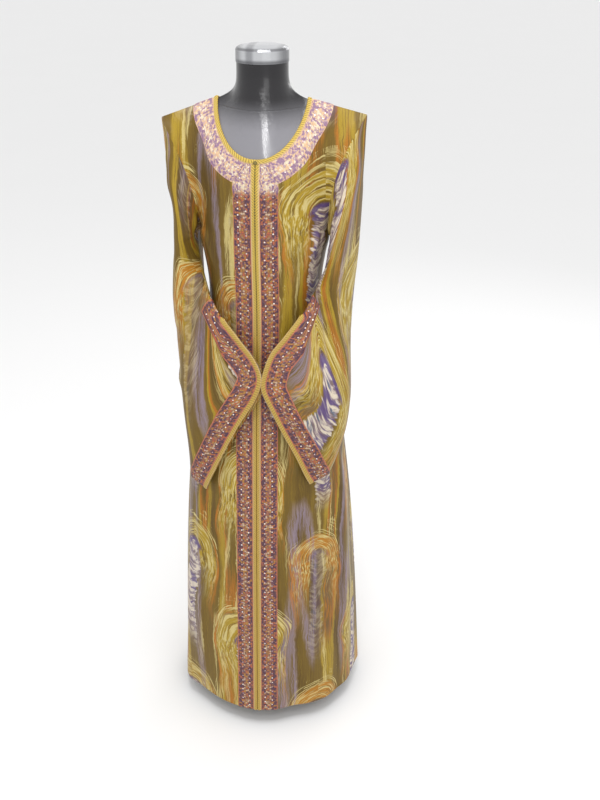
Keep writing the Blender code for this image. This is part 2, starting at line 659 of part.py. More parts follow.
def turned(name, profile, segments):
    """A closed body turned round the upright axis from radius and height pairs."""
    made, corners = [], []
    for radius, z in profile:
        for k in range(segments):
            a = 2 * math.pi * k / segments
            corners.append((radius * math.cos(a), radius * math.sin(a), z))
    for row in range(len(profile) - 1):
        for k in range(segments):
            j = (k + 1) % segments
            a, b = row * segments + k, row * segments + j
            made += [(a, b, b + segments), (a, b + segments, a + segments)]
    corners += [(0.0, 0.0, profile[0][1]), (0.0, 0.0, profile[-1][1])]
    low, high = len(corners) - 2, len(corners) - 1
    last = (len(profile) - 1) * segments
    for k in range(segments):
        j = (k + 1) % segments
        made += [(low, j, k), (high, last + k, last + j)]
    mesh = bpy.data.meshes.new(name)
    mesh.from_pydata(corners, [], made)
    mesh.update()
    piece = bpy.data.objects.new(name, mesh)
    bpy.context.scene.collection.objects.link(piece)
    return piece


# Neck cap, pole and base
piece = turned("form_neck_cap", (
    (NECK_RADIUS + 0.0008, NECK_END_Z + SEAM), (NECK_RADIUS + 0.0012, NECK_END_Z + 0.002),
    (NECK_RADIUS + 0.0012, CAP_TOP_Z - 0.007), (NECK_RADIUS - 0.001, CAP_TOP_Z - 0.003),
    (NECK_RADIUS - 0.006, CAP_TOP_Z), (NECK_RADIUS * 0.6, CAP_TOP_Z + 0.003),
    (NECK_RADIUS * 0.25, CAP_TOP_Z + 0.0042)), 40)
paint(piece, *CHROME)
piece = turned("stand_pole", ((POLE_RADIUS, BASE_HEIGHT + SEAM), (POLE_RADIUS, FORM[-1][0] - SEAM)), 24)
paint(piece, *STEEL)
piece = turned("stand_base", (
    (BASE_RADIUS - 0.001, 0.0), (BASE_RADIUS, 0.001), (BASE_RADIUS, BASE_HEIGHT - 0.004),
    (BASE_RADIUS - 0.003, BASE_HEIGHT - 0.001), (BASE_RADIUS - 0.008, BASE_HEIGHT)), 48)
paint(piece, *STEEL)
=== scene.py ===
"""Looks of a long robe with embroidered trims on a limbless dress form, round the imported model, in metres.

The cloth, trims and braids follow the same named sizes as the model, on finer grids, with creases, print,
embroidery, stones and knots added. The wearer's left is +X and the front faces -Y.
"""

import math

import bpy
import numpy as np
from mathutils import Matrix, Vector


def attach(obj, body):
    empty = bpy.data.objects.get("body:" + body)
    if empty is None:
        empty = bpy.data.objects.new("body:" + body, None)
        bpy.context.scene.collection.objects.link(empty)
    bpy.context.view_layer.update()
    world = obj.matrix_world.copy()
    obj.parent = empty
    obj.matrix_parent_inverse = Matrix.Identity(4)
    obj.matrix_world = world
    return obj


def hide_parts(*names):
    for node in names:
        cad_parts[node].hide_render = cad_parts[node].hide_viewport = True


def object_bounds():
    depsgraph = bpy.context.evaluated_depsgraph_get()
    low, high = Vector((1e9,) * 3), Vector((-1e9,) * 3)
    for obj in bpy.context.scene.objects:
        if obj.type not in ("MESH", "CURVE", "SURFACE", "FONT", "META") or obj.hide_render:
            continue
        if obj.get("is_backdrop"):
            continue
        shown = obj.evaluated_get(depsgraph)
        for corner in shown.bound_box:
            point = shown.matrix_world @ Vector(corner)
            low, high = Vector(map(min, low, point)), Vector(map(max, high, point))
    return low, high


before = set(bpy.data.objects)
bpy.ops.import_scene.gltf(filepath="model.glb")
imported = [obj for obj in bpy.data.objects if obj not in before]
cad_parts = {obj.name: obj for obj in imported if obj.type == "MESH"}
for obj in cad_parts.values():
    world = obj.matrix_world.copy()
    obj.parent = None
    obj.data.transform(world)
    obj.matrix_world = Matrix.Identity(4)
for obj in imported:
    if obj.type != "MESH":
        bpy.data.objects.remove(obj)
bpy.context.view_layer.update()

# Stand: a round base with a pole screwed into it, both turned from dark metal, which hold the form from
# below. They hardly show under the hem, so they keep the model's solids and only get their finish.
class Socket:
    """A shader value with ordinary operators, each of them a Math node."""

    def __init__(self, looks, out):
        self.looks, self.out = looks, out

    def part(self, name):
        """Another output of the same node."""
        return Socket(self.looks, self.out.node.outputs[name])

    def math(self, operation, *others, last=False):
        """A Math node on this value and others, with this value first or last."""
        values = (*others, self) if last else (self, *others)
        return self.looks.node("ShaderNodeMath", values, operation=operation)

    def __add__(self, other):
        return self.math("ADD", other)

    def __sub__(self, other):
        return self.math("SUBTRACT", other)

    def __rsub__(self, other):
        return self.math("SUBTRACT", other, last=True)

    def __mul__(self, other):
        return self.math("MULTIPLY", other)

    def __truediv__(self, other):
        return self.math("DIVIDE", other)

    def __abs__(self):
        return self.math("ABSOLUTE")

    __radd__, __rmul__ = __add__, __mul__

    def zigzag(self):
        """1 at whole numbers and 0 halfway between them, with straight slopes."""
        return abs(self.math("FRACT") - 0.5) * 2.0

    def step(self, low, high):
        """0 below low and 1 above high, smooth between. With low above high it falls."""
        ends = (high, low, 1.0, 0.0) if low > high else (low, high, 0.0, 1.0)
        return self.looks.node("ShaderNodeMapRange", (self, *ends), interpolation_type="SMOOTHSTEP")

    def between(self, low, full, last_full, high):
        """1 from full to last_full, and smoothly down to 0 at low and at high."""
        return self.step(low, full) * self.step(high, last_full)


class Looks:
    """One material: its slot, its Principled shader, and helpers for coordinates, noise and colours."""

    def __init__(self, name, slot_name, colour, roughness, metallic=0.0):
        self.slot_name = slot_name
        self.material = bpy.data.materials.new(name)
        self.material.use_nodes = True
        self.tree = self.material.node_tree
        self.shader = self.tree.nodes["Principled BSDF"]
        self.shade("Base Color", colour)
        self.shade("Roughness", roughness)
        self.shade("Metallic", metallic)

    def fill(self, place, value):
        """Links a value to a socket, or sets it there. A colour is three numbers."""
        if isinstance(value, Socket):
            self.tree.links.new(value.out, place)
        else:
            place.default_value = (*value, 1.0) if place.type == "RGBA" else value

    def shade(self, name, value):
        self.fill(self.shader.inputs[name], value)

    def node(self, kind, inputs=(), **settings):
        """A node of this kind, as its first output. The settings are set first, then the inputs."""
        made = self.tree.nodes.new(kind)
        for key, value in settings.items():
            setattr(made, key, value)
        for key, value in inputs.items() if isinstance(inputs, dict) else enumerate(inputs):
            self.fill(made.inputs[key], value)
        return Socket(self, made.outputs[0])

    def parts(self, vector):
        """The three values of a vector."""
        made = self.node("ShaderNodeSeparateXYZ", (vector,))
        return [made.part(k) for k in range(3)]

    def cut(self):
        """The place on the flat cut, as two values."""
        return self.parts(self.node("ShaderNodeUVMap", uv_map="cut"))[:2]

    def place(self):
        """Object coordinates, as one vector."""
        return self.node("ShaderNodeTexCoord").part("Object")

    def noise(self, at, scale=1.0, detail=2.0, rough=0.5):
        """Noise at a vector, or at three values."""
        if isinstance(at, tuple):
            at = self.node("ShaderNodeCombineXYZ", at)
        return self.node("ShaderNodeTexNoise", {"Vector": at, "Scale": scale, "Detail": detail,
                                                "Roughness": rough})

    def mix(self, share, first, second):
        """Two colours mixed. A colour is three numbers or a socket."""
        return self.node("ShaderNodeMix", {0: share, 6: first, 7: second}, data_type="RGBA").part(2)

    def layered(self, base, *layers):
        """A base colour with others laid over it, each as far as its own share."""
        for share, colour in layers:
            base = self.mix(share, base, colour)
        return base

    def bump(self, height, strength, distance):
        self.shade("Normal", self.node("ShaderNodeBump", {"Height": height, "Strength": strength,
                                                          "Distance": distance}))


def coated(node, looks):
    """A solid of the model, kept as it is, in its finish."""
    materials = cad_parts[node].data.materials
    materials.clear()
    materials.append(looks.material)


steel = Looks("dark metal", "dark_metal", (0.1, 0.1, 0.105), 0.4, 0.8)
grain = steel.noise(steel.place(), 700.0)
steel.shade("Roughness", grain * 0.2 + 0.3)
steel.bump(grain, 0.2, 0.0005)
coated("stand_pole", steel)
coated("stand_base", steel)

# Form: a limbless torso moulded hollow in thin plastic and finished in black gloss, which rests on the pole.
# It is the solid's surface made smooth, with its rims kept sharp.
SMOOTH_UP_TO = math.radians(38)
SHOULDER_Z = 1.385
NECK_SHADE_Z = 1.452
NECK_SEAM_Z = 1.428

black = Looks("black gloss", "black_gloss", (0.1, 0.1, 0.11), 0.2)
height = black.parts(black.place())[2]
# Painted reflection and shade: the chest is painted a lighter grey for the bright room it reflects, and the
# neck near black above the shoulders
black.shade("Base Color", black.mix(height.step(SHOULDER_Z, NECK_SHADE_Z), (0.215, 0.211, 0.23),
                                    (0.007, 0.006, 0.008)))
black.shade("Specular IOR Level", 0.4)
black.shade("Coat Weight", 0.45)
black.shade("Coat Roughness", 0.1)
scuff = black.noise(black.place(), 160.0, 3.0)
black.shade("Roughness", scuff * 0.1 + 0.2)
ripple = black.noise(black.place(), 42.0)
neck_base = height.between(1.375, 1.41, 1.445, 1.475)
seam_line = abs(height - NECK_SEAM_Z + (ripple - 0.5) * 0.004).step(0.0022, 0.0008)
black.bump(ripple * (neck_base * 0.9 + 0.08) - seam_line * 0.35, 0.55, 0.006)


def placed(name, data):
    """A new object of this data in the scene, the only one selected."""
    made = bpy.data.objects.new(name, data)
    bpy.context.scene.collection.objects.link(made)
    bpy.ops.object.select_all(action="DESELECT")
    made.select_set(True)
    bpy.context.view_layer.objects.active = made
    return made


def finish_piece(piece, node, looks):
    """The selected piece in its material, smooth up to its edges, hung on the root, with the model's solid of
    its node hidden.
    """
    piece.data.materials.append(looks.material)
    bpy.ops.object.shade_smooth_by_angle(angle=SMOOTH_UP_TO)
    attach(piece, "root")
    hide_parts(node)
    return piece


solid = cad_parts["form_torso"]
mesh = solid.data.copy()
mesh.transform(solid.matrix_world)
mesh.materials.clear()
piece = placed("form_surface", mesh)
bpy.ops.object.mode_set(mode="EDIT")
bpy.ops.mesh.select_mode(type="EDGE")
bpy.ops.mesh.select_all(action="SELECT")
bpy.ops.mesh.remove_doubles(threshold=1e-5)
bpy.ops.mesh.tris_convert_to_quads(face_threshold=0.6, shape_threshold=0.9)
bpy.ops.mesh.select_all(action="DESELECT")
bpy.ops.mesh.edges_select_sharp(sharpness=0.7)
bpy.ops.transform.edge_crease(value=1.0)
bpy.ops.object.mode_set(mode="OBJECT")
rounding = piece.modifiers.new("rounding", "SUBSURF")
rounding.levels = rounding.render_levels = 2
bpy.ops.object.modifier_apply(modifier="rounding")
finish_piece(piece, "form_torso", black)

# Neck cap: a short closed cylinder of chromed metal, turned with a groove under its top, pushed on the neck.
# It keeps the model's solid; its colour is darkened by painted reflection at the sides and painted shade at
# its lower rim and groove.
RIM_Z = 1.517
GROOVE_Z = 1.5405

chrome = Looks("chrome", "chrome", (0.62, 0.63, 0.65), 0.2, 1.0)
sideways, _, height = chrome.parts(chrome.place())
# The metal's colour with painted reflection at the sides and in a stripe, and painted shade at the lower rim
# and in the groove
chrome.shade("Base Color", chrome.layered(
    (0.66, 0.67, 0.69),
    (abs(sideways).step(0.03, 0.05) * 0.75, (0.16, 0.16, 0.17)),
    (abs(sideways + 0.018).step(0.012, 0.003) * 0.6, (0.22, 0.22, 0.24)),
    (height.step(RIM_Z + 0.007, RIM_Z) * 0.8, (0.14, 0.14, 0.15)),
    (abs(height - GROOVE_Z).step(0.0035, 0.0012) * 0.7, (0.16, 0.16, 0.17))))
chrome.shade("Roughness", chrome.noise(chrome.place(), 60.0, 3.0) * 0.14 + 0.14)
coated("form_neck_cap", chrome)

# Front and back panels: two fronts and a back, cut from printed satin and sewn together down the shoulders
# and sides. They hang from the form's shoulders, and the skirt flares to a hem that stands in soft folds.
WALL = 0.0016
SEAM = 0.0003
BRAID_WIDTH = 0.01
TRIM_WIDTH = 0.044
STRIP_HALF = 0.0088
PLACKET_WIDTH = 0.037
PLACKET_GAP = 0.0006
NECK_HALF = 0.0915
NECK_TOP_Z = 1.445
NECK_FRONT = (-0.1, 1.34)
NECK_BACK = (0.062, 1.424)
TIP_X = 0.2115
TIP_Z = {1: 1.415, -1: 1.401}
ARMPIT_Z = 1.165
ARM_SCOOP = 0.022
ARM_BULGE = 0.04
CHEST_FULL = 0.012
SKIRT_FOLD = 0.0075
HEM_BULGE = 0.01
FOLDS_FROM_Z = 0.95
FOLDS_LENGTH = 0.9

# height, half width, depth in front, depth behind
BODY = (
    (1.165, 0.138, 0.119, 0.098),
    (1.12, 0.13, 0.118, 0.093),
    (1.06, 0.122, 0.1145, 0.089),
    (1.0, 0.125, 0.116, 0.093),
    (0.93, 0.137, 0.123, 0.105),
    (0.85, 0.152, 0.134, 0.12),
    (0.75, 0.168, 0.147, 0.135),
    (0.6, 0.186, 0.161, 0.152),
    (0.45, 0.1985, 0.173, 0.166),
    (0.25, 0.209, 0.185, 0.18),
    (0.045, 0.2165, 0.196, 0.191),
)
ROW_Z = (1.165, 1.125, 1.085, 1.045, 1.005, 0.965, 0.92, 0.87, 0.815, 0.755, 0.69, 0.62, 0.545,
         0.465, 0.385, 0.305, 0.225, 0.16, 0.1, 0.045)

# Counts of the coarse grids, and how many lines each of their steps becomes
SKIRT_COLUMNS = 9
ARM_SEGMENTS = 10
RAYS = SKIRT_COLUMNS + ARM_SEGMENTS
TRIM_STEPS = (0.0, BRAID_WIDTH, BRAID_WIDTH + TRIM_WIDTH / 2, BRAID_WIDTH + TRIM_WIDTH)
REST_STEPS = 5
EVEN_ROUNDS = 14
FINE = 8
LAST_RAY = FINE * SKIRT_COLUMNS


def clip(value, low=0.0, high=1.0):
    return min(max(value, low), high)


def low_down(z):
    """0 down to the hips, and from there 1 at the hem."""
    return clip((FOLDS_FROM_Z - z) / FOLDS_LENGTH)


def weights(f):
    """Weights of the start, its direction, the end and its direction, this share of the way along a curve."""
    return (2 * f**3 - 3 * f**2 + 1, f**3 - 2 * f**2 + f, -2 * f**3 + 3 * f**2, f**3 - f**2)


def curve(table, at):
    """The table's other columns at this value of its first, by a smooth curve through its rows."""
    rows = np.array(table)
    keys, values = rows[:, 0], rows[:, 1:]
    if keys[0] > keys[-1]:
        keys, values = keys[::-1], values[::-1]
    at = clip(at, keys[0], keys[-1])
    k = int(clip(np.searchsorted(keys, at) - 1, 0, len(keys) - 2))
    step = np.diff(keys)
    slope = np.diff(values, axis=0) / step[:, None]
    tangent = np.vstack([slope[:1], (slope[1:] + slope[:-1]) / 2, slope[-1:]])
    h = weights((at - keys[k]) / step[k])
    return (h[0] * values[k] + h[1] * step[k] * tangent[k] + h[2] * values[k + 1]
            + h[3] * step[k] * tangent[k + 1])


def unit(v):
    return v / np.linalg.norm(v)


def body_point(angle, z):
    """A point of the hanging cloth: angle 0 is the middle of the front and pi/2 the wearer's left side."""
    width, front, behind = curve(BODY, z)
    depth = front if math.cos(angle) > 0 else behind
    low = low_down(z)
    middle = math.exp(-((angle / 0.42) ** 2))
    fold = 0.55 * math.cos(7 * angle + 0.6) + 0.45 * math.cos(11 * angle - 0.9)
    fold *= SKIRT_FOLD * low**1.3 * (1 - middle)
    bulge = HEM_BULGE * low**2 * middle
    reach = 1 + (fold + bulge) / 0.19
    return np.array([width * math.sin(angle) * reach, -depth * math.cos(angle) * reach, z])


def side_angles(z, front):
    """Angles of one half panel's columns, from the middle to the side, with lines along strip and trim."""
    width = curve(BODY, z)[0]
    last = math.pi / 2
    if not front:
        return [last * k / SKIRT_COLUMNS for k in range(SKIRT_COLUMNS + 1)]
    edge = [0.0, math.asin(STRIP_HALF / width), math.asin((STRIP_HALF + PLACKET_WIDTH) / width)]
    rest = SKIRT_COLUMNS - 2
    return edge + [edge[2] + (last - edge[2]) * k / rest for k in range(1, rest + 1)]


def armhole(theta, side, front):
    """The armhole edge: theta 0 is the shoulder tip and pi the armpit."""
    tip = np.array([TIP_X, 0.0, TIP_Z[side]])
    pit = np.array([BODY[0][1], 0.0, ARMPIT_Z])
    out = (tip + pit) / 2 + (tip - pit) / 2 * math.cos(theta)
    out[0] -= ARM_SCOOP * math.sin(theta) ** 2
    out[1] = (-ARM_BULGE if front else ARM_BULGE) * math.sin(theta) ** (1.7 if theta > math.pi / 2 else 1.0)
    return out


def neckline(psi, front):
    """The neck edge: psi 0 is its middle and pi/2 the high point at the shoulder."""
    y, z = NECK_FRONT if front else NECK_BACK
    drop = math.cos(psi) ** 1.15 if front else math.cos(psi)
    across = math.sin(psi) ** (0.92 if front else 1.0)
    return np.array([NECK_HALF * across, y * drop, NECK_TOP_Z + (z - NECK_TOP_Z) * drop])


def shoulder_normal(side):
    slope = unit(np.array([TIP_X - NECK_HALF, 0.0, TIP_Z[side] - NECK_TOP_Z]))
    return np.array([-slope[2], 0.0, slope[0]])


def upper(side, front):
    """Grid of the part above the armpits: rays from the neck edge to the bust row and the armhole."""
    facing = -1.0 if front else 1.0
    top = shoulder_normal(side)
    chest = unit(np.array([0.0, facing * (0.94 if front else 0.8), 0.35 if front else 0.6]))
    angles = side_angles(ARMPIT_Z, front)
    grid = []
    for ray in range(RAYS + 1):
        share = ray / RAYS
        psi = math.pi / 2 * share
        if front and ray < 3:
            psi = (0.0, 0.055, 0.115)[ray]
        elif front:
            psi = 0.115 + (math.pi / 2 - 0.115) * (ray - 2) / (RAYS - 2)
        start = neckline(psi, front)
        blend = math.sin(psi) ** 2
        n0 = unit(chest * (1 - blend) + top * blend)
        if ray <= SKIRT_COLUMNS:
            angle = angles[ray]
            end = body_point(angle if front else math.pi - angle, ARMPIT_Z)
            n1 = unit(np.array([math.sin(angle), facing * math.cos(angle), 0.0]))
            turn = (ray / SKIRT_COLUMNS) ** 4
            away = unit(np.array([math.cos(angle), -facing * math.sin(angle), 0.0]) * turn
                        + np.array([0.0, 0.0, turn - 1.0]))
        else:
            theta = math.pi * (1 - (ray - SKIRT_COLUMNS) / ARM_SEGMENTS)
            end = armhole(theta, side, front)
            s = math.sin(theta)
            ends = np.array([1.0, 0.0, 0.0]) if theta > math.pi / 2 else top
            n1 = unit(ends * (1 - 0.8 * s) + np.array([0.35, facing, 0.12]) * 0.8 * s)
            edge = armhole(theta + 0.01, side, front) - armhole(theta - 0.01, side, front)
            away = unit(np.cross(edge, n1)) * facing
        chord = end - start
        size = np.linalg.norm(chord)
        m0 = unit(chord - n0 * (chord @ n0)) * size
        m1 = away * size * (0.75 if ray <= SKIRT_COLUMNS - 2 else 0.55)
        swell = math.sin(math.pi * clip((share - 0.12) / 0.88)) ** 1.2
        full = CHEST_FULL * (1.0 if front else 2.0) * swell

        def at(f):
            h = weights(f)
            p = h[0] * start + h[1] * m0 + h[2] * end + h[3] * m1
            return p + np.array([0.15, facing, 0.1]) * full * math.sin(math.pi * f) ** 2

        fine = [at(k / 60) for k in range(61)]
        far = np.cumsum([0.0] + [np.linalg.norm(b - a) for a, b in zip(fine, fine[1:])])
        stops = list(TRIM_STEPS)
        stops += [stops[-1] + (far[-1] - stops[-1]) * k / REST_STEPS for k in range(1, REST_STEPS + 1)]
        points = [at(float(np.interp(stop, far, np.arange(61) / 60))) for stop in stops]
        grid.append(points)
    grid = np.array(grid)
    # The cloth between the trim, the bust row and the armhole is evened out, with its edges kept
    level = np.full(grid.shape[:2], 1.0)
    level[:SKIRT_COLUMNS - 2] = 0.35
    for _ in range(EVEN_ROUNDS):
        middle = (grid[:-2, 4:-1] + grid[2:, 4:-1] + grid[1:-1, 3:-2] + grid[1:-1, 5:]) / 4
        grid[1:-1, 4:-1] += (middle - grid[1:-1, 4:-1]) * level[1:-1, 4:-1, None] * 0.8
    for ray, share in ((7, 0.3), (8, 0.7), (9, 1.0), (10, 0.9), (11, 0.6), (12, 0.3)):
        grid[ray, -2] += np.array([-0.002, facing * 0.007, -0.014]) * share
        grid[ray, -3] += np.array([-0.001, facing * 0.003, -0.007]) * share
    if front:
        # Lines along the strip, the placket trim and its mitre, with the next rays spread beyond them
        last = SKIRT_COLUMNS - 1
        for k in range(1, grid.shape[1] - 1):
            own = grid[:last + 1, k].copy()
            reach = min(k / 3, 1.0)
            mitre = STRIP_HALF + PLACKET_GAP + (PLACKET_WIDTH - PLACKET_GAP) * reach
            stops = [0.0, STRIP_HALF, mitre] + [mitre + (own[last, 0] - mitre) * (r - 2) / (last - 2)
                                                for r in range(3, last)]
            for ray, x in enumerate(stops):
                grid[ray, k] = [x, np.interp(x, own[:, 0], own[:, 1]), np.interp(x, own[:, 0], own[:, 2])]
    return grid


def lower(side, front):
    """Grid of the part below the armpits, one column for each of the first rays."""
    grid = []
    for column in range(SKIRT_COLUMNS + 1):
        angles = [side_angles(z, front)[column] * side for z in ROW_Z]
        grid.append([body_point(a if front else math.pi - a, z) for a, z in zip(angles, ROW_Z)])
    return np.array(grid)


def refined(points, axis, factor=FINE):
    """The grid with more lines along one axis, on smooth curves through its points."""
    p = np.moveaxis(np.asarray(points, float), axis, 0)
    ends = np.concatenate([2 * p[:1] - p[1:2], p, 2 * p[-1:] - p[-2:-1]])
    f = (np.arange(factor) / factor).reshape((1, factor) + (1,) * (p.ndim - 1))
    a, b, c, d = ends[:-3, None], ends[1:-2, None], ends[2:-1, None], ends[3:, None]
    q = b + 0.5 * f * (c - a + f * (2 * a - 5 * b + 4 * c - d + f * (3 * (b - c) + d - a)))
    q = q.reshape((-1,) + p.shape[1:])
    return np.moveaxis(np.concatenate([q, p[-1:]]), 0, axis)


def outward(grid, turn):
    """Unit normals of a grid of points."""
    n = np.cross(np.gradient(grid, axis=0), np.gradient(grid, axis=1)) * turn
    return n / (np.linalg.norm(n, axis=2, keepdims=True) + 1e-12)


def at_seams(grid, n):
    """Normals that agree across the middle, shoulder and side seams."""
    n = n.copy()
    n[np.abs(grid[..., 1]) < SEAM, 1] = 0.0
    n[np.abs(grid[..., 0]) < SEAM, 0] = 0.0
    return n / np.linalg.norm(n, axis=2, keepdims=True)


def panel(side, front):
    """Fine grids of one half panel: from the neck down to the hem, and from the neck to the armhole."""
    up = upper(side, front) * np.array([side, 1.0, 1.0])
    down = lower(side, front)
    high = refined(up[:, :-1], 0)
    edge = np.concatenate([refined(up[:SKIRT_COLUMNS + 1, -1], 0), refined(up[SKIRT_COLUMNS:, -1], 0)[1:]])
    high = np.concatenate([high, edge[:, None]], axis=1)
    low = refined(down, 0)
    tall = refined(np.concatenate([high[:LAST_RAY + 1, :-1], low], axis=1), 1)
    arm = refined(high[LAST_RAY:], 1)
    arm[0] = tall[-1, :arm.shape[1]]
    gap = SEAM / 2
    for grid in (tall, arm):
        grid[np.abs(grid[..., 1]) < 1e-6, 1] = -gap if front else gap
        if front:
            grid[np.abs(grid[..., 0]) < 1e-6, 0] = side * gap
    return tall, arm


# How far across and down the print the back is cut from the front, the gain of folds out and in, and how near
# two points of a grid are one corner of the cloth
BACK_CUT = (0.043, 0.21)
OUT_GAIN = 1.5
IN_GAIN = 1.15
SAME_POINT = 4e-6


def cut_place(p, front):
    """Places on the flat cut: across from the middle and down from the neck, in metres."""
    keys = np.linspace(0.04, 1.46, 200)
    rows = np.array([curve(BODY, z) for z in keys])
    x, y, z = np.abs(p[..., 0]), np.maximum(np.abs(p[..., 1]), 1e-6), p[..., 2]
    width = np.interp(z, keys, rows[:, 0])
    depth = np.interp(z, keys, rows[:, 1 if front else 2])
    angle = np.arctan2(x / width, y / depth)
    bend = width * np.sin(angle) + (width * 0.62 + depth * 0.38) * (angle - np.sin(angle))
    share = np.clip((z - 1.14) / 0.16, 0, 1)
    across = bend * (1 - share) + x * 1.12 * share
    down = 1.46 - z + 0.35 * (0.12 - y) * np.clip((z - 1.25) / 0.1, 0, 1)
    if not front:
        across, down = across + BACK_CUT[0], down + BACK_CUT[1]
    return np.stack([np.copysign(across, p[..., 0]), down], axis=-1)


def creased(p, n, strokes):
    """Points moved out or in along their normals by soft, uneven folds laid along short curves."""
    flat = p.reshape(-1, 3)
    move = np.zeros(len(flat))
    for a, b, c, width, depth in strokes:
        a, b, c = (np.array(q, float) for q in (a, b, c))
        reach = 3 * width
        inside = np.all((flat > np.minimum(np.minimum(a, b), c) - reach)
                        & (flat < np.maximum(np.maximum(a, b), c) + reach), axis=1)
        some = flat[inside]
        if not len(some):
            continue
        steps = np.linspace(0, 1, 15)[:, None]
        line = (1 - steps) ** 2 * a + 2 * steps * (1 - steps) * b + steps**2 * c
        near = np.full(len(some), 1e9)
        share = np.zeros(len(some))
        for k in range(len(line) - 1):
            d = line[k + 1] - line[k]
            t = np.clip(((some - line[k]) * d).sum(axis=1) / (d @ d), 0, 1)
            dist = np.linalg.norm(some - line[k] - t[:, None] * d, axis=1)
            closer = dist < near
            near[closer] = dist[closer]
            share[closer] = ((k + t) / (len(line) - 1))[closer]
        taper = np.sin(math.pi * np.clip(share, 0, 1)) ** 0.7
        uneven = 1 + 0.25 * np.sin(9.0 * share + 40 * a[0]) + 0.15 * np.sin(17.0 * share + 30 * a[2])
        rise = depth * (OUT_GAIN if depth > 0 else IN_GAIN)
        move[inside] += rise * taper * uneven * np.exp(-(near / (width * (0.75 + 0.5 * share))) ** 2)
    return p + n * move.reshape(p.shape[:-1])[..., None]


def cloth_piece(name, corners, faces, places, node, looks):
    """A piece of these faces, with the place of each of their corners on its flat cut."""
    mesh = bpy.data.meshes.new(name)
    mesh.from_pydata(corners.tolist(), [], faces)
    layer = mesh.uv_layers.new(name="cut")
    layer.data.foreach_set("uv", np.array(places, np.float32).ravel())
    mesh.update()
    return finish_piece(placed(name, mesh), node, looks)


def wall(name, patches, node):
    """Cloth as a closed wall: each patch has outer points, normals, places on the cut and its turn."""
    points, normals, index, faces, places = [], [], {}, [], []
    for p, n, uv, flip in patches:
        ids = np.empty(p.shape[:2], int)
        for at in np.ndindex(ids.shape):
            key = tuple(np.round(p[at] / SAME_POINT).astype(int))
            if key not in index:
                index[key] = len(points)
                points.append(p[at])
                normals.append(n[at])
            ids[at] = index[key]
        for i, j in np.ndindex(ids.shape[0] - 1, ids.shape[1] - 1):
            cell = [(i, j), (i + 1, j), (i + 1, j + 1), (i, j + 1)][::-1 if flip else 1]
            face = [ids[corner] for corner in cell]
            kept = [k for k in range(4) if face[k] != face[k - 1]]
            if len(kept) > 2:
                faces.append([face[k] for k in kept])
                places.append([uv[cell[k]] for k in kept])
    points, normals = np.array(points), np.array(normals)
    count = len(points)
    corners = np.vstack([points, points - normals * WALL])
    used = {}
    for face, uv in zip(faces, places):
        for k in range(len(face)):
            used[face[k], face[(k + 1) % len(face)]] = (uv[k], uv[(k + 1) % len(face)])
    made = [tuple(f) for f in faces] + [tuple(v + count for v in f[::-1]) for f in faces]
    spots = [q for uv in places for q in uv] + [q for uv in places for q in uv[::-1]]
    for (a, b), (qa, qb) in used.items():
        if (b, a) not in used:
            made.append((a, a + count, b + count, b))
            spots += [qa, qa, qb, qb]
    return cloth_piece(name, corners, made, spots, node, satin)


# Printed satin: brush-dab plumes in a half-drop repeat over an olive ground
PLUME_WIDTH = 0.172
PLUME_HEIGHT = 0.4
OLIVE = (0.156, 0.096, 0.017)
BROWN = (0.098, 0.056, 0.013)
YELLOW = (0.4, 0.268, 0.026)
CREAM = (0.62, 0.51, 0.21)
ORANGE = (0.45, 0.16, 0.018)
LILAC = (0.36, 0.28, 0.31)
VIOLET = (0.095, 0.058, 0.19)
TEAL = (0.04, 0.12, 0.2)
UMBER = (0.13, 0.083, 0.045)
MAUVE = (0.285, 0.215, 0.25)
BONE = (0.7, 0.61, 0.48)
IRIS = (0.24, 0.2, 0.36)

satin = Looks("printed satin", "printed_satin", OLIVE, 0.45)
cut_u, cut_v = satin.cut()
drift = satin.noise((cut_u, cut_v, 3.1), 5.0)
drift2 = satin.noise((cut_u, cut_v, 8.7), 4.0)
jitter = satin.noise((cut_u, cut_v, 1.3), 60.0)
u = cut_u + (drift - 0.5) * 0.085 + (jitter - 0.5) * 0.003
v = cut_v + (drift2 - 0.5) * 0.09 + (jitter - 0.5) * 0.004
columns = u / PLUME_WIDTH + 20.62
column = columns.math("FLOOR")
rows = v / PLUME_HEIGHT + (column * 0.5 + 0.18) + 20.0
row = rows.math("FLOOR")
seed = column * 7.31 + row * 3.77
own = satin.noise((seed * 1.7, seed * 0.9, 0.5), 1.0, 0.0)
x = (columns - column - 0.5) * PLUME_WIDTH + (own - 0.5) * 0.02
y = (rows - row - 0.26) * PLUME_HEIGHT
above = y.math("MINIMUM", 0.0)
r = (x * x + above * above).math("SQRT") * (own * 0.5 + 0.75)
along = y.math("MAXIMUM", 0.0) + abs(x.math("ARCTAN2", 0.02 - y) * 0.045)
turned = x.math("SIGN") * 5.0

# Strokes follow the arch outside the spine, and lie in small bows across it
streak = satin.noise((r * 290.0, along * 17.0 + turned, seed), 1.0, 3.0, 0.6)
dabs = satin.noise((r * 360.0, along * 38.0 + turned, seed + 4.0))
bowed = y * 125.0 + (x * x + 0.00004).math("SQRT") * 125.0 - x * x * 1500.0
rib = satin.noise((bowed, x * 40.0, seed), 1.0, 2.0, 0.6)
rib2 = satin.noise((bowed * 0.35, x * 20.0, seed + 2.0))
calm = cut_u + (drift - 0.5) * 0.03 + (jitter - 0.5) * 0.008
hair = satin.noise((calm * 420.0, v * 13.0, 1.7), 1.0, 3.0, 0.6)
wash = satin.noise((calm * 16.0, cut_v * 1.5, 5.3), 1.0, 1.0, 0.45)
wash2 = satin.noise((calm * 20.0, cut_v * 1.9, 9.3), 1.0, 1.0, 0.45)

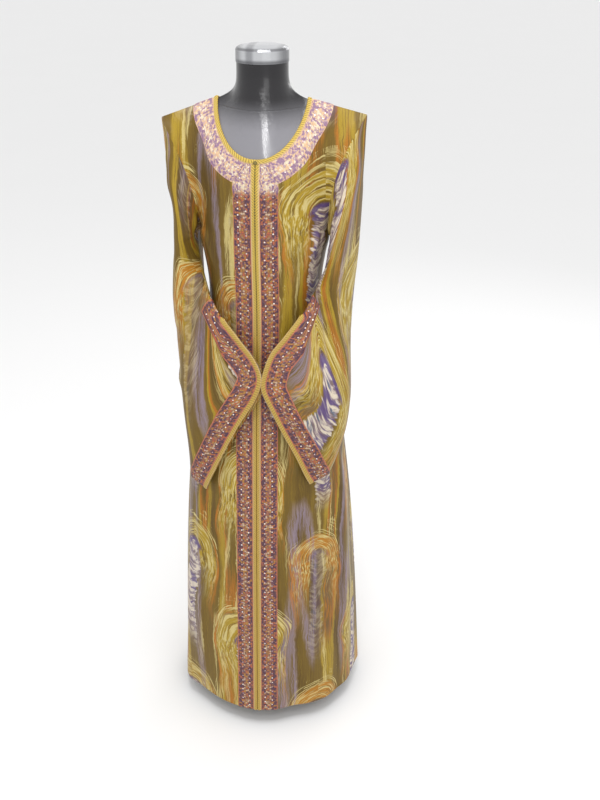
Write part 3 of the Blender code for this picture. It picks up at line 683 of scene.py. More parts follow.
# The plume's strokes, and its spine with the dark cap over it
warm = own.step(0.575, 0.6)
strokes = satin.layered(
    YELLOW,
    (dabs.step(0.44, 0.6), CREAM),
    (streak.step(0.47, 0.4) * 0.85, OLIVE),
    ((r * 30.0 + streak * 0.8).step(2.75, 2.95) * 0.7, ORANGE),
    (warm * dabs.step(0.6, 0.48) * 0.75, ORANGE))
spine = satin.layered(
    MAUVE,
    (rib.step(0.42, 0.6), BONE),
    (rib.step(0.46, 0.36) * 0.55, UMBER),
    (rib2.step(0.52, 0.58) * rib.step(0.64, 0.52) * 0.85, VIOLET),
    (rib2.step(0.44, 0.36) * rib.step(0.56, 0.46) * own.step(0.45, 0.6) * 0.8, TEAL))
inside = (r - (rib * 0.026 + own * 0.008 + 0.006)).step(0.003, -0.002)
cap = (x * x + (y - 0.012) * (y - 0.012)).math("SQRT") + (streak - 0.5) * 0.014
tail = along.step(0.33, 0.16) * streak.step(0.4, 0.56)
shade = x.between(0.012, 0.03, 0.04, 0.058) * y.between(0.02, 0.06, 0.16, 0.26)
bare = (r - 0.085).step(0.0, 0.02)
weave = satin.noise(satin.place(), 900.0, 1.0)

satin.shade("Base Color", satin.layered(
    OLIVE,
    # Long soft ribbons of yellow, orange, cream and lilac down the ground
    (wash2.step(0.5, 0.64), BROWN),
    (hair.step(0.45, 0.7) * 0.22, YELLOW),
    (wash.between(0.5, 0.54, 0.57, 0.62) * hair.step(0.28, 0.5) * 0.9, YELLOW),
    (wash.between(0.57, 0.6, 0.62, 0.67) * hair.step(0.34, 0.54) * 0.85, ORANGE),
    (wash2.between(0.33, 0.37, 0.39, 0.42) * hair.step(0.4, 0.56) * 0.8, CREAM),
    (wash.between(0.29, 0.35, 0.37, 0.41) * hair.step(0.3, 0.6) * 0.55, LILAC),
    # The plume: orange edge and tails, yellow and cream strokes, a shadow beside the spine, and the spine
    (r.between(0.06, 0.07, 0.08, 0.092) * tail * along.step(0.02, 0.07) * 0.95, ORANGE),
    (r.between(0.068, 0.076, 0.086, 0.096) * along.step(0.1, 0.04) * dabs.step(0.52, 0.6), CREAM),
    (r.between(0.026, 0.032, 0.07, 0.082) * along.step(0.3, 0.1) * streak.step(0.34, 0.44), strokes),
    (shade * streak.step(0.4, 0.55) * 0.8, UMBER),
    (inside * y.between(-0.026, -0.014, 0.19, 0.275) * (1.0 - warm * 0.75), spine),
    (cap.between(0.022, 0.027, 0.033, 0.041) * y.step(0.012, -0.004) * streak.step(0.34, 0.46)
     * (0.9 - warm * 0.6), VIOLET),
    # Touches over all of it, and the threads of the weave
    (wash.between(0.3, 0.335, 0.355, 0.385) * hair.step(0.4, 0.6) * 0.36, IRIS),
    (bare * (hair * 0.7 + wash * 0.6 + dabs * 0.3).step(0.905, 0.955) * 0.8, CREAM),
    (weave.step(0.3, 0.7) * 0.2, BROWN)))
satin.shade("Roughness", weave * 0.16 + 0.34)
satin.shade("Specular IOR Level", 0.2)
satin.bump(weave, 0.12, 0.0004)

# Folds of the cloth: start, bend and end of each, its half width and how far it stands out
FRONT_FOLDS = (
    ((0.15, -0.045, 1.3), (0.12, -0.09, 1.235), (0.085, -0.115, 1.19), 0.012, 0.0052),
    ((-0.15, -0.045, 1.3), (-0.122, -0.09, 1.24), (-0.09, -0.115, 1.18), 0.011, 0.0056),
    ((0.128, -0.05, 1.2), (0.11, -0.085, 1.14), (0.1, -0.095, 1.04), 0.011, 0.0056),
    ((-0.128, -0.05, 1.2), (-0.112, -0.082, 1.15), (-0.098, -0.097, 1.06), 0.011, 0.0056),
    ((0.12, -0.06, 1.1), (0.112, -0.08, 0.98), (0.135, -0.08, 0.8), 0.016, 0.005),
    ((-0.118, -0.06, 1.09), (-0.116, -0.078, 0.96), (-0.13, -0.085, 0.78), 0.015, 0.005),
    ((0.085, -0.15, 0.66), (0.09, -0.165, 0.42), (0.11, -0.175, 0.1), 0.018, 0.0068),
    ((-0.08, -0.15, 0.7), (-0.094, -0.165, 0.44), (-0.1, -0.18, 0.08), 0.022, -0.0048),
    ((0.14, -0.12, 0.6), (0.15, -0.13, 0.36), (0.15, -0.145, 0.08), 0.018, -0.0048),
    ((-0.14, -0.115, 0.62), (-0.148, -0.13, 0.4), (-0.158, -0.14, 0.06), 0.017, 0.0068),
    ((0.175, -0.05, 0.7), (0.19, -0.05, 0.46), (0.2, -0.06, 0.1), 0.022, 0.0042),
    ((-0.175, -0.045, 0.66), (-0.192, -0.052, 0.4), (-0.2, -0.062, 0.08), 0.02, -0.0042),
)
BACK_FOLDS = (
    ((0.15, 0.04, 1.28), (0.11, 0.085, 1.2), (0.05, 0.105, 1.15), 0.015, 0.003),
    ((-0.15, 0.04, 1.29), (-0.112, 0.085, 1.21), (-0.06, 0.105, 1.14), 0.014, 0.0032),
    ((0.11, 0.06, 1.12), (0.08, 0.09, 1.03), (0.07, 0.11, 0.86), 0.016, 0.0045),
    ((-0.108, 0.06, 1.12), (-0.07, 0.092, 1.02), (-0.062, 0.112, 0.84), 0.015, 0.0042),
    ((0.03, 0.095, 1.08), (0.012, 0.105, 0.96), (0.02, 0.125, 0.76), 0.015, 0.0036),
    ((0.06, 0.14, 0.72), (0.07, 0.16, 0.44), (0.08, 0.17, 0.08), 0.02, 0.0052),
    ((-0.05, 0.14, 0.7), (-0.064, 0.16, 0.42), (-0.06, 0.18, 0.07), 0.022, -0.0048),
    ((-0.13, 0.11, 0.7), (-0.14, 0.125, 0.44), (-0.15, 0.13, 0.08), 0.02, 0.0048),
    ((0.13, 0.11, 0.66), (0.146, 0.12, 0.4), (0.15, 0.135, 0.06), 0.018, -0.0046),
)

# The cloth dips in along the seam of each armhole, in five short strokes down its front and its back
SEAM_DIPS = [(*(armhole(min(at + k, math.pi), side, front) * [side, 1, 1] for k in (0.0, 0.45, 0.9)),
              0.0042, -0.0013)
             for side in (1, -1) for front in (True, False) for at in (0.0, 0.7, 1.4, 2.1, 2.8)]

# Normals agree where the panels meet, so that the cloth stays closed along its seams
panels = {}
for side in (1, -1):
    for front in (True, False):
        turn = 1.0 if (side > 0) == front else -1.0
        tall, arm = panel(side, front)
        n_tall = at_seams(tall, outward(tall, -turn))
        n_arm = at_seams(arm, outward(arm, -turn))
        n_arm[0] = n_tall[-1, :arm.shape[1]] = n_tall[-1, :arm.shape[1]] + n_arm[0]
        n_arm[0] /= np.linalg.norm(n_arm[0], axis=1, keepdims=True)
        n_tall[-1, :arm.shape[1]] = n_arm[0]
        n_arm[0, -1] = n_tall[-1, arm.shape[1] - 1]
        folds = [*(FRONT_FOLDS if front else BACK_FOLDS), *SEAM_DIPS]
        panels[side, front] = [(creased(grid, n, folds), n, cut_place(grid, front), turn > 0)
                               for grid, n in ((tall, n_tall), (arm, n_arm))]

for name, patches in (("front_left", panels[1, True]), ("front_right", panels[-1, True]),
                      ("back", panels[1, False] + panels[-1, False])):
    wall(name + "_cloth", patches, name)

# Neck trim and braid: a band of embroidery in coral, plum and ochre thread, sewn flat round the neck, with a
# yellow braid sewn along its inner edge. Two rows of clear stones are glued on the band.
TRIM_WALL = 0.0013
BRAID_WALL = 0.0022
STONE_PITCH = 0.0125
STONE_ROWS = (0.3, 0.7)
STONE_LIFT = 0.0015
STITCH_ROW = 0.0126
BRAID_LAY = 0.0056
CORAL = (0.48, 0.11, 0.04)
PLUM = (0.07, 0.025, 0.055)
WINE = (0.14, 0.06, 0.085)
ROSE = (0.33, 0.12, 0.08)
OCHRE = (0.42, 0.2, 0.035)
PEARL = (0.6, 0.46, 0.34)

# In the cut of a band, across goes from 0 to 1 and run is in metres. Above the bust the band is painted
# paler, a painted light from overhead
trim = Looks("embroidered trim", "embroidered_trim", ROSE, 0.6)
across, run = trim.cut()
middle = abs(across - 0.5)
wave = (run / STITCH_ROW).zigzag()
fine = trim.noise((across * 55.0, run * 1400.0, 0.0), 1.0, 2.0, 0.6)
speck = trim.noise((across * 13.0, run * 340.0, 5.0), 1.0, 1.0, 0.6)
speck2 = trim.noise((across * 11.0, run * 290.0, 15.0), 1.0, 1.0, 0.6)
patch = trim.noise((across * 3.0, run * 45.0, 2.0), 1.0, 1.0)
slant = (run / STITCH_ROW + middle * 2.6).zigzag() + (speck2 - 0.5) * 0.8
slant2 = (run / STITCH_ROW - middle * 2.6).zigzag() + (speck - 0.5) * 0.6
blocks = middle.between(0.17, 0.2, 0.44, 0.452) * slant.step(0.25, 0.45) * slant2.step(0.1, 0.3)
cross = abs(middle - wave * 0.13).step(0.04, 0.016)
cord = middle.step(0.446, 0.458)
line = abs(middle - 0.18).step(0.03, 0.012)
stitch = trim.node("ShaderNodeCombineXYZ", (across * 9.0, run * 265.0, 0.0))
tiles = trim.node("ShaderNodeTexVoronoi", {"Vector": stitch, "Scale": 1.0, "Randomness": 0.6})
near = tiles.part("Distance")
pick = trim.node("ShaderNodeSeparateColor", (tiles.part("Color"),))
pick = pick + middle.step(0.165, 0.135) * 0.2 - blocks * 0.22 + (patch - 0.5) * 0.2
# Paler colours of the painted light above the bust
pale = trim.layered(
    (0.36, 0.22, 0.34),
    (pick.step(0.3, 0.36), (0.6, 0.42, 0.42)),
    (pick.step(0.5, 0.56), (0.78, 0.56, 0.34)),
    (pick.step(0.8, 0.86), (0.84, 0.74, 0.56)))
trim.shade("Base Color", trim.layered(
    PLUM,
    (pick.step(0.26, 0.3), WINE),
    (pick.step(0.42, 0.46), ROSE),
    (pick.step(0.58, 0.62), CORAL),
    (pick.step(0.74, 0.78), OCHRE),
    (pick.step(0.97, 1.02) * 0.8, PEARL),
    (near.step(0.4, 0.64) * 0.62, (0.12, 0.05, 0.04)),
    (cross * speck.step(0.4, 0.5) * 0.5, OCHRE),
    (line * wave.step(0.45, 0.2) * 0.6, PLUM),
    (cord * 0.9, trim.mix(fine.step(0.45, 0.55), CORAL, (0.52, 0.2, 0.13))),
    # Painted light: above the bust the band is laid over with the paler colours
    ((trim.parts(trim.place())[2] + (fine - 0.5) * 0.03).step(1.268, 1.286) * 0.72, pale),
    (fine.step(0.5, 0.34) * 0.4, (0.1, 0.035, 0.05))))
trim.bump(fine * 0.4 - near * 0.7 + blocks * 0.3 + cord * 0.8 + line * 0.4, 0.9, 0.0011)

# Slanted cords lie across the braid, and below the chest it is painted browner and darker, a painted shade
# away from the light overhead
braid = Looks("yellow braid", "yellow_braid", (0.5, 0.36, 0.06), 0.5)
across, run = braid.cut()
cords = (across * 1.3 + run / BRAID_LAY).zigzag()
strand = braid.noise((across * 30.0, run * 900.0, 2.0))
braid.shade("Base Color", braid.layered(
    (0.22, 0.125, 0.012),
    (cords.step(0.95, 0.45), (0.58, 0.4, 0.055)),
    (strand.step(0.5, 0.7) * 0.5, (0.7, 0.58, 0.2)),
    (across.step(0.78, 0.92) * 0.7, (0.66, 0.48, 0.26)),
    # Painted shade: darker and browner towards the waist
    (braid.parts(braid.place())[2].step(1.1, 0.95) * 0.45, (0.36, 0.21, 0.045))))
braid.bump(cords * -1.0, 0.8, 0.0009)


def run_of(line):
    """How far along the line each of its points is."""
    return np.concatenate([[0.0], np.cumsum(np.linalg.norm(np.diff(line, axis=0), axis=1))])


def raised(name, grid, n, run, flip, low, high, looks, node, closed=False):
    """A trim or braid laid on the cloth, a little rounded across. Its cut is 0 to 1 across and run long."""
    t = np.linspace(-1, 1, grid.shape[1])
    uv = np.stack(np.broadcast_arrays(np.linspace(0, 1, grid.shape[1])[None, :], run[:, None]), axis=-1)
    top = grid + n * (low + (high - low) * (1 - 0.8 * np.abs(t) ** 6))[None, :, None]
    points = np.concatenate([top, (grid + n * low)[:, ::-1], top[:, :1]], axis=1)
    spots = np.concatenate([uv, uv[:, ::-1], uv[:, :1]], axis=1)
    laid[name] = tube(name, points, spots, flip, closed, node, looks)


def tube(name, points, spots, flip, closed, node, looks):
    """A closed body whose rows of points each run once round it, with flat ends."""
    rows, cols = points.shape[0], points.shape[1] - 1
    corners = points[:, :-1].reshape(-1, 3)
    faces, uvs = [], []
    for i in range(rows - 1 + (1 if closed else 0)):
        k = (i + 1) % rows
        for j in range(cols):
            m = (j + 1) % cols
            face = [i * cols + j, k * cols + j, k * cols + m, i * cols + m]
            next_row = spots[i + 1] if i + 1 < rows else spots[i] + (spots[i] - spots[i - 1])
            uv = [spots[i, j], next_row[j], next_row[j + 1], spots[i, j + 1]]
            faces.append(face[::-1] if flip else face)
            uvs += uv[::-1] if flip else uv
    if not closed:
        half = cols // 2
        for row, start in ((0, 0), (rows - 1, (rows - 1) * cols)):
            for j in range(half - 1):
                face = [start + j, start + j + 1, start + cols - 2 - j, start + cols - 1 - j]
                turned = (row == 0) == flip
                faces.append(face[::-1] if turned else face)
                uvs += [spots[row, j]] * 4
    return cloth_piece(name, corners, [tuple(int(q) for q in f) for f in faces], uvs, node, looks)


def set_stones(grid, n, lift):
    """Marks the places of stones on a band, in its rows and one every pitch."""
    for share in STONE_ROWS:
        j = int(share * (grid.shape[1] - 1))
        f = share * (grid.shape[1] - 1) - j
        line = grid[:, j] * (1 - f) + grid[:, j + 1] * f
        far = run_of(line)
        for at in np.arange(STONE_PITCH / 2, far[-1] - STONE_PITCH / 3, STONE_PITCH):
            spot = np.array([np.interp(at, far, line[:, c]) for c in range(3)])
            facing = np.array([np.interp(at, far, n[:, j, c]) for c in range(3)])
            stone_spots.append((spot + facing * lift, unit(facing)))


laid, stone_spots = {}, []
rings, ring_n = [], []
for side, front, order in ((-1, True, 1), (-1, False, -1), (1, False, 1), (1, True, -1)):
    (tall, n_tall), (arm, n_arm) = (patch[:2] for patch in panels[side, front])
    near = 3 * FINE + 1
    g = np.concatenate([tall[:, :near], arm[1:, :near]])[::order]
    m = np.concatenate([n_tall[:, :near], n_arm[1:, :near]])[::order]
    if rings:
        g, m = g[1:], m[1:]
    rings.append(g)
    ring_n.append(m)
rings, ring_n = np.concatenate(rings), np.concatenate(ring_n)
mitre = 2 * FINE
trim_grid, trim_n = rings[mitre:-mitre, FINE:], ring_n[mitre:-mitre, FINE:]
raised("neck_trim_band", trim_grid, trim_n, run_of(trim_grid[:, FINE]), False, SEAM, SEAM + TRIM_WALL,
       trim, "neck_trim")
set_stones(trim_grid, trim_n, STONE_LIFT)
braid_grid, braid_n = rings[:, :FINE + 1], ring_n[:, :FINE + 1]
raised("neck_braid_cord", braid_grid, braid_n, run_of(braid_grid[:, FINE // 2]), False, SEAM,
       SEAM + BRAID_WALL, braid, "neck_braid")

# Placket trims and braids: a band of the same embroidery down each front edge, and a strip of yellow braid
# along the edge itself. All four are sewn flat from the neck to the hem, and the strips meet in the middle.
for side, word in ((1, "left"), (-1, "right")):
    tall, n_tall = panels[side, True][0][:2]
    run = run_of(tall[FINE, FINE:])
    g, m = (grid[FINE:2 * FINE + 1, FINE:].swapaxes(0, 1) for grid in (tall, n_tall))
    raised(f"placket_band_{word}", g, m, run, side < 0, SEAM, SEAM + TRIM_WALL, trim, f"placket_trim_{word}")
    set_stones(g, m, STONE_LIFT)
    g, m = (grid[:FINE + 1, FINE:].swapaxes(0, 1) for grid in (tall, n_tall))
    raised(f"placket_strip_{word}", g, m, run, side < 0, SEAM, SEAM + BRAID_WALL, braid,
           f"placket_braid_{word}")

# Sleeves: one piece of the same satin each, sewn to a tube and set into the armhole. They hang empty, bent
# over the front, and end in wide mouths whose inner corners nearly meet.

# Each sleeve's rings: share of the way down, outer edge x y z, inner edge x y z, bulge x y
SLEEVE_RIGHT = (
    (0.0, 0.2115, 0.0, 1.401, 0.138, 0.0, 1.165, -0.022, -0.04),
    (0.12, 0.205, -0.004, 1.33, 0.141, -0.006, 1.152, -0.004, -0.05),
    (0.24, 0.186, -0.012, 1.243, 0.14, -0.018, 1.135, 0.006, -0.055),
    (0.36, 0.186, -0.022, 1.127, 0.134, -0.04, 1.105, 0.012, -0.052),
    (0.48, 0.189, -0.035, 1.017, 0.122, -0.066, 1.077, 0.016, -0.042),
    (0.6, 0.183, -0.048, 0.93, 0.107, -0.088, 1.05, 0.016, -0.034),
)
SLEEVE_LEFT = (
    (0.0, 0.2115, 0.0, 1.415, 0.138, 0.0, 1.165, -0.022, -0.04),
    (0.12, 0.209, -0.004, 1.335, 0.141, -0.006, 1.152, -0.01, -0.054),
    (0.24, 0.204, -0.012, 1.245, 0.141, -0.018, 1.137, -0.01, -0.062),
    (0.36, 0.201, -0.022, 1.14, 0.137, -0.04, 1.11, -0.008, -0.06),
    (0.48, 0.194, -0.035, 1.034, 0.126, -0.066, 1.085, -0.002, -0.05),
    (0.6, 0.192, -0.048, 0.94, 0.115, -0.088, 1.06, 0.006, -0.038),
)
# Share from the outer to the inner corner, then x y z of a line up the sleeve, of the trim's inner line and
# of the mouth
MOUTH_RIGHT = (
    (0.0, 0.162, -0.08, 0.745, 0.16, -0.104, 0.63, 0.113, -0.138, 0.609),
    (0.1, 0.158, -0.1, 0.752, 0.146, -0.118, 0.652, 0.096, -0.141, 0.644),
    (0.22, 0.149, -0.116, 0.77, 0.121, -0.132, 0.706, 0.068, -0.145, 0.703),
    (0.36, 0.131, -0.127, 0.798, 0.085, -0.142, 0.785, 0.029, -0.15, 0.785),
    (0.5, 0.11, -0.133, 0.835, 0.046, -0.148, 0.833, -0.005, -0.156, 0.845),
    (0.62, 0.096, -0.135, 0.868, 0.032, -0.151, 0.866, -0.014, -0.16, 0.883),
    (0.74, 0.087, -0.133, 0.906, 0.032, -0.148, 0.898, -0.01, -0.159, 0.92),
    (0.86, 0.083, -0.126, 0.95, 0.049, -0.138, 0.938, 0.016, -0.148, 0.956),
    (0.95, 0.084, -0.117, 0.99, 0.068, -0.124, 0.98, 0.048, -0.13, 0.986),
    (1.0, 0.087, -0.108, 1.021, 0.077, -0.114, 1.008, 0.069, -0.115, 1.0046),
)
MOUTH_LEFT = (
    (0.0, 0.191, -0.076, 0.775, 0.16, -0.106, 0.662, 0.113, -0.138, 0.637),
    (0.1, 0.186, -0.1, 0.78, 0.15, -0.12, 0.676, 0.099, -0.141, 0.666),
    (0.22, 0.175, -0.116, 0.795, 0.131, -0.134, 0.724, 0.078, -0.145, 0.717),
    (0.36, 0.157, -0.127, 0.818, 0.103, -0.143, 0.79, 0.045, -0.15, 0.787),
    (0.5, 0.136, -0.133, 0.85, 0.075, -0.148, 0.84, 0.025, -0.155, 0.842),
    (0.62, 0.121, -0.135, 0.882, 0.063, -0.15, 0.876, 0.0205, -0.159, 0.883),
    (0.74, 0.111, -0.133, 0.92, 0.06, -0.147, 0.918, 0.0225, -0.158, 0.928),
    (0.86, 0.105, -0.126, 0.963, 0.076, -0.138, 0.958, 0.045, -0.147, 0.964),
    (0.95, 0.104, -0.117, 1.003, 0.091, -0.124, 0.997, 0.073, -0.13, 0.999),
    (1.0, 0.1055, -0.108, 1.036, 0.0965, -0.114, 1.023, 0.089, -0.115, 1.0186),
)
# Share of the way down, bulge x y past the chord rings
BULGE = ((0.6, 0.016, -0.034), (0.78, 0.01, -0.024), (0.9, 0.006, -0.017), (1.0, 0.004, -0.01))
BAND_T = 0.9
RING_T = (0.0, 0.05, 0.11, 0.17, 0.24, 0.31, 0.38, 0.45, 0.52, 0.59, 0.66, 0.73, 0.81, 0.9, 0.938, 0.976, 1.0)
ARM_FOLDS = (
    ((0.2, -0.02, 1.33), (0.175, -0.05, 1.24), (0.15, -0.06, 1.16), 0.011, 0.0062),
    ((0.196, -0.03, 1.2), (0.176, -0.06, 1.12), (0.148, -0.075, 1.08), 0.012, -0.0034),
    ((0.188, -0.04, 1.06), (0.16, -0.09, 1.0), (0.12, -0.115, 1.0), 0.011, 0.006),
    ((0.186, -0.045, 0.98), (0.16, -0.105, 0.92), (0.118, -0.135, 0.93), 0.013, -0.004),
    ((0.18, -0.06, 0.88), (0.162, -0.115, 0.83), (0.12, -0.145, 0.86), 0.012, 0.006),
    ((0.196, 0.01, 1.28), (0.18, 0.04, 1.18), (0.15, 0.03, 1.1), 0.014, 0.0036),
    ((0.19, -0.005, 1.1), (0.17, 0.01, 1.03), (0.14, -0.02, 0.99), 0.014, -0.0034),
    ((0.185, -0.03, 0.96), (0.16, -0.04, 0.9), (0.13, -0.07, 0.9), 0.014, 0.0036),
)

# Across and down the print where each sleeve is cut
SLEEVE_CUT = {1: (0.7, 0.2), -1: (-0.665, 0.0)}
# The corner of each mouth at the middle: the pull's height over it, and how far it is drawn
CORNER_PULL = {1: (-0.012, (-0.0085, 0.0, -0.002)), -1: (-0.03, (0.0045, 0.0, -0.004))}


def clear_of_body(p, margin):
    """The point moved out from the hanging cloth where it is nearer than the margin."""
    rise = (p[2] - ARMPIT_Z) / 0.02
    if rise > 1.0:
        return p
    margin *= 1 - max(rise, 0.0)
    width, front, behind = curve(BODY, p[2])
    depth = front + HEM_BULGE * low_down(p[2]) ** 2 if p[1] < 0 else behind
    flat = math.hypot(p[0], p[1])
    ratio = math.hypot(p[0] / width, p[1] / depth)
    least = 1 + margin * ratio / flat
    soft = math.log(math.exp(70 * (ratio - least)) + 1) / 70 + least
    return np.array([p[0] * soft / ratio, p[1] * soft / ratio, p[2]])


def sleeve_rings(side):
    """Rings of the sleeve from the armhole to the mouth: the first half of each is the front layer."""
    table, mouth = (SLEEVE_LEFT, MOUTH_LEFT) if side > 0 else (SLEEVE_RIGHT, MOUTH_RIGHT)
    rings = []
    for t in RING_T:
        early = max(0.0, 1 - t / 0.24)
        late = clip((t - 0.36) / (BAND_T - 0.36))
        late = late * late * (3 - 2 * late)
        bx, by = curve(table, t)[6:8] if t <= 0.6 else curve(BULGE, t)
        ring = []
        for k in range(2 * ARM_SEGMENTS):
            theta = math.pi * k / ARM_SEGMENTS
            s, share = math.sin(theta), (1 - math.cos(theta)) / 2
            if t == 0.0:
                p = armhole(theta if theta <= math.pi else 2 * math.pi - theta, side, theta <= math.pi)
                p[0] += (3 + 7 * max(0.0, -math.cos(theta)) ** 2) * SEAM
                ring.append(p)
                continue
            line = curve(mouth, share)
            down = [(row[0], *(np.array(row[1:4]) * (1 - share) + np.array(row[4:7]) * share))
                    for row in table]
            down += [(0.78, *line[:3]), (BAND_T, *line[3:6]), (1.0, *line[6:9])]
            p = curve(down, t)
            thin = clip((share - 0.45) / 0.3) * late
            closed = 1 - 0.62 * thin
            across = bx * s if s > 0 else bx * (s * (1 - early) - s * early)
            p = p + np.array([across, by * s, 0.0]) * closed
            if s < 0:
                p[2] += 0.008 * s * thin
            near = 0.0085 + 0.0045 * late
            p = clear_of_body(p, near + 0.011 * max(0.0, s) * closed)
            ring.append(p)
        rings.append(ring)
    return np.array(rings)


def ringed(points, factor=FINE):
    """The rings refined round their closed direction, which is axis 1."""
    p = np.concatenate([points[:, -2:], points, points[:, :3]], axis=1)
    return refined(p, 1, factor)[:, 2 * factor:-2 * factor]


sleeves = {}
for side, word in ((1, "left"), (-1, "right")):
    coarse = sleeve_rings(side) * np.array([side, 1.0, 1.0])
    fine = refined(ringed(coarse), 0)
    count = fine.shape[1] - 1
    fine[:, -1] = fine[:, 0]
    wide = np.concatenate([fine[:, -2:-1], fine, fine[:, 1:2]], axis=1)
    n = outward(wide, -1.0 if side > 0 else 1.0)[:, 1:-1]
    edge, edge_n = (np.concatenate([panels[side, True][1][k][::-1, -1], panels[side, False][1][k][1:, -1]])
                    for k in (0, 1))
    n[0] = edge_n
    arm_folds = [tuple((q[0] * side, q[1], q[2]) for q in f[:3]) + f[3:] for f in ARM_FOLDS]
    fine = creased(fine, n, SEAM_DIPS + arm_folds)
    fine[0] = edge
    front_half = fine[-1, :count // 2]
    over, pull = CORNER_PULL[side]
    off = fine - front_half[np.argmin(np.abs(front_half[:, 0]))] - np.array([0.0, 0.0, over])
    near = np.exp(-(off[..., 0] ** 2 + off[..., 1] ** 2) / 0.05**2 - off[..., 2] ** 2 / 0.038**2)
    fine += near[..., None] * np.array(pull)
    sleeves[word] = fine, n
    length = run_of(fine[:, count // 4])
    around = np.array([run_of(r)[-1] for r in fine])[:, None]
    halves = []
    for part, ends in ((slice(0, count // 2 + 1), (0, 0.5)), (slice(count // 2, count + 1), (-0.5, 0))):
        across = np.linspace(*ends, count // 2 + 1)[None, :] * around + SLEEVE_CUT[side][0]
        uv = np.stack(np.broadcast_arrays(across, length[:, None] + SLEEVE_CUT[side][1]), axis=-1)
        halves.append((fine[:, part], n[:, part], uv, side > 0))
    wall(f"sleeve_{word}_cloth", halves, f"sleeve_{word}")

# Cuff trims and braids: the same embroidered band and yellow braid, sewn as closed rings round each sleeve's
# mouth, the braid on its edge. They keep their width from the edge all round.
CUFF_ROWS = 7 * FINE
BAND_LINES = 17
CORD_LINES = 7


def at_depths(stops, depth, rows):
    """The rows' points or normals at these distances from the mouth, column by column."""
    steps = np.arange(len(depth))
    found = np.zeros((rows.shape[1], len(stops), 3))
    for j in range(rows.shape[1]):
        place = np.interp(stops, depth[:, j], steps)
        for c in range(3):
            found[j, :, c] = np.interp(place, steps, rows[:, j, c])
    return found


for side, word in ((1, "left"), (-1, "right")):
    strip, strip_n = (rows[-CUFF_ROWS:, :-1][::-1] for rows in sleeves[word])
    depth = np.array([[np.min(np.linalg.norm(strip[0] - p, axis=1)) for p in line] for line in strip])
    depth = np.maximum.accumulate(depth, axis=0)
    for name, stops, high, looks, node in (
            ("cuff_band", np.linspace(BRAID_WIDTH + TRIM_WIDTH, BRAID_WIDTH, BAND_LINES),
             2 * SEAM + TRIM_WALL, trim, "cuff_trim"),
            ("cuff_cord", np.linspace(BRAID_WIDTH, 0.0, CORD_LINES), SEAM + BRAID_WALL, braid, "cuff_braid")):
        g, m = at_depths(stops, depth, strip), at_depths(stops, depth, strip_n)
        m /= np.linalg.norm(m, axis=2, keepdims=True)
        raised(f"{name}_{word}", g, m, run_of(g[:, g.shape[1] // 2]), side < 0, 2 * SEAM, high, looks,
               f"{node}_{word}", closed=True)
        if looks is trim:
            set_stones(g, m, STONE_LIFT + SEAM)

# Stones and knots: small clear stones on all the embroidered bands, and a row of knots of yellow cord down
# the closed part of the front, with a larger one at the neck. Each is glued or sewn on by itself.

# Radius and rise of each, and how much of the radius is left at its top
STONE = (0.0017, 0.0013, 0.55)
KNOT = (0.0019, 0.0017, 0.45)
CENTRE_KNOT = (0.0047, 0.0036, 0.52)
KNOT_PITCH = 0.0056
KNOTS_FROM = 0.004
KNOTS_TO = 0.36
KNOT_LIFT = 0.0016

stone = Looks("clear stones", "embroidered_trim", (0.9, 0.86, 0.88), 0.1, 0.3)
# Painted glints: some stones are painted near white, the rest a dim pink
painted_glint = stone.noise(stone.place(), 95.0, 2.0, 0.7)
stone.shade("Base Color", stone.mix(painted_glint.step(0.47, 0.6), (0.5, 0.36, 0.38), (1.0, 0.92, 0.84)))
knot = Looks("knot cord", "yellow_braid", (0.42, 0.3, 0.06), 0.55)
twist = knot.noise(knot.place(), 900.0, 1.0)
knot.shade("Base Color", knot.mix(twist.step(0.4, 0.6), (0.1, 0.075, 0.015), (0.24, 0.18, 0.04)))


def beads(name, spots, sizes, looks):
    """Six-sided domes: one is modelled, and a copy of it is set on each spot, facing outwards."""
    radius, rise, top = sizes
    bpy.ops.object.select_all(action="DESELECT")
    bpy.ops.mesh.primitive_cylinder_add(vertices=6, radius=radius, depth=0.4 * rise,
                                        location=(0, 0, 0.2 * rise))
    piece = bpy.context.active_object
    piece.name = name
    bpy.ops.object.transform_apply(location=True)
    for side in piece.data.polygons:
        side.select = side.normal.z > 0.9
    bpy.ops.object.mode_set(mode="EDIT")
    bpy.ops.mesh.select_mode(type="FACE")
    bpy.ops.mesh.extrude_region_move(TRANSFORM_OT_translate={"value": (0, 0, 0.6 * rise)})
    bpy.ops.transform.resize(value=(top, top, 1), center_override=(0, 0, rise))
    bpy.ops.object.mode_set(mode="OBJECT")
    one = np.array([corner.co for corner in piece.data.vertices])
    sides = [list(side.vertices) for side in piece.data.polygons]
    corners, faces = [], []
    for spot, facing in spots:
        sideways = np.cross(facing, (0.13, 0.27, 0.95))
        sideways /= np.linalg.norm(sideways)
        turn = np.array([sideways, np.cross(facing, sideways), facing])
        faces += [[len(corners) + k for k in side] for side in sides]
        corners += (spot + one @ turn).tolist()
    piece.data.clear_geometry()
    piece.data.from_pydata(corners, [], faces)
    piece.data.update()
    piece.data.materials.append(looks.material)
    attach(piece, "root")


beads("stones", stone_spots, STONE, stone)
middle_line = (panels[1, True][0][0][0, FINE:] + panels[-1, True][0][0][0, FINE:]) / 2
far = run_of(middle_line)
knot_spots = []
for at in np.arange(KNOTS_FROM, KNOTS_TO, KNOT_PITCH):
    spot = np.array([np.interp(at, far, middle_line[:, c]) for c in range(3)])
    knot_spots.append((spot - np.array([0.0, KNOT_LIFT, 0.0]), np.array([0.0, -1.0, 0.0])))
beads("knots", knot_spots, KNOT, knot)
spot = (rings[0, FINE // 2] + rings[-1, FINE // 2]) / 2 + np.array([0.0, -0.002, -0.002])
beads("centre_knot", [(spot, np.array([0.0, -0.953, 0.302]))], CENTRE_KNOT, knot)

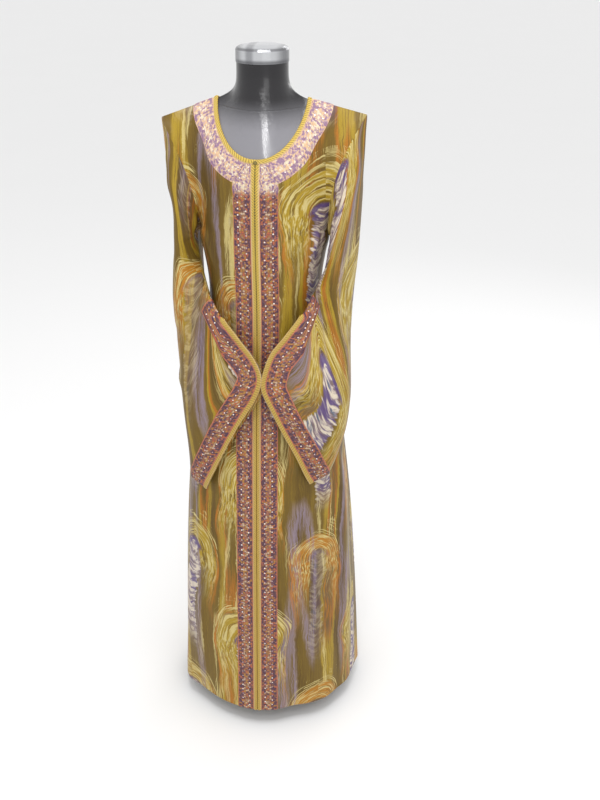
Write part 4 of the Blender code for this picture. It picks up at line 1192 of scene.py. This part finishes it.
# Studio: a pale matt floor that runs out of the picture, a white room round it, and soft lamps overhead, in
# front and behind. The camera stands in front, a little to the wearer's left, and looks down.
floor_looks = Looks("pale floor", None, (0.8, 0.8, 0.8), 0.8)
mottle = floor_looks.noise(floor_looks.place(), 1.5, 1.0)
floor_looks.shade("Base Color", floor_looks.mix(mottle, (0.895, 0.895, 0.895), (0.905, 0.905, 0.905)))
bpy.ops.mesh.primitive_plane_add(size=90, location=(0, 0, 0))
floor = bpy.context.active_object
floor.name = "floor"
floor.data.materials.append(floor_looks.material)
floor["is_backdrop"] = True

world = bpy.data.worlds.new("studio")
bpy.context.scene.world = world
world.use_nodes = True
world.node_tree.nodes["Background"].inputs[0].default_value = (1.0, 1.0, 1.0, 1.0)
world.node_tree.nodes["Background"].inputs[1].default_value = 0.92

for name, place, aim, size, power in (
        ("overhead", (0.2, -0.7, 3.3), (0.0, 0.0, 1.1), (1.4, 1.4), 22.0),
        ("highlight", (0.1, -1.25, 3.3), (0.0, 0.0, 1.4), (0.16, 0.16), 9.0),
        ("window", (0.42, -1.97, 2.44), (0.02, -0.08, 1.38), (0.6, 0.045), 4.5),
        ("key", (1.3, -2.7, 2.0), (0.0, 0.0, 0.7), (1.2, 1.2), 7.0),
        ("back", (1.0, 2.5, 2.2), (0.0, 0.0, 0.9), (1.6, 1.6), 12.0)):
    lamp = bpy.data.lights.new(name, "AREA")
    lamp.shape = "RECTANGLE"
    lamp.size, lamp.size_y = size
    lamp.energy = power
    light = placed(name, lamp)
    light.location = place
    light.rotation_mode = "QUATERNION"
    light.rotation_quaternion = (Vector(place) - Vector(aim)).to_track_quat("Z", "Y")

TURN, PITCH = math.radians(7.5), math.radians(25.0)
BACK, ASIDE, EYE_Z = 2.205, 0.075, 1.7976
lens = bpy.data.cameras.new("camera")
lens.lens, lens.sensor_width = 47.835, 36.0
lens.clip_start, lens.clip_end = 0.05, 60.0
camera = placed("camera", lens)
camera.location = (math.sin(TURN) * BACK + math.cos(TURN) * ASIDE,
                   -math.cos(TURN) * BACK + math.sin(TURN) * ASIDE, EYE_Z)
look = Vector((-math.sin(TURN) * math.cos(PITCH), math.cos(TURN) * math.cos(PITCH), -math.sin(PITCH)))
camera.rotation_mode = "QUATERNION"
camera.rotation_quaternion = look.to_track_quat("-Z", "Y")
bpy.context.scene.camera = camera
bpy.context.scene.view_settings.view_transform = "Standard"

low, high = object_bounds()
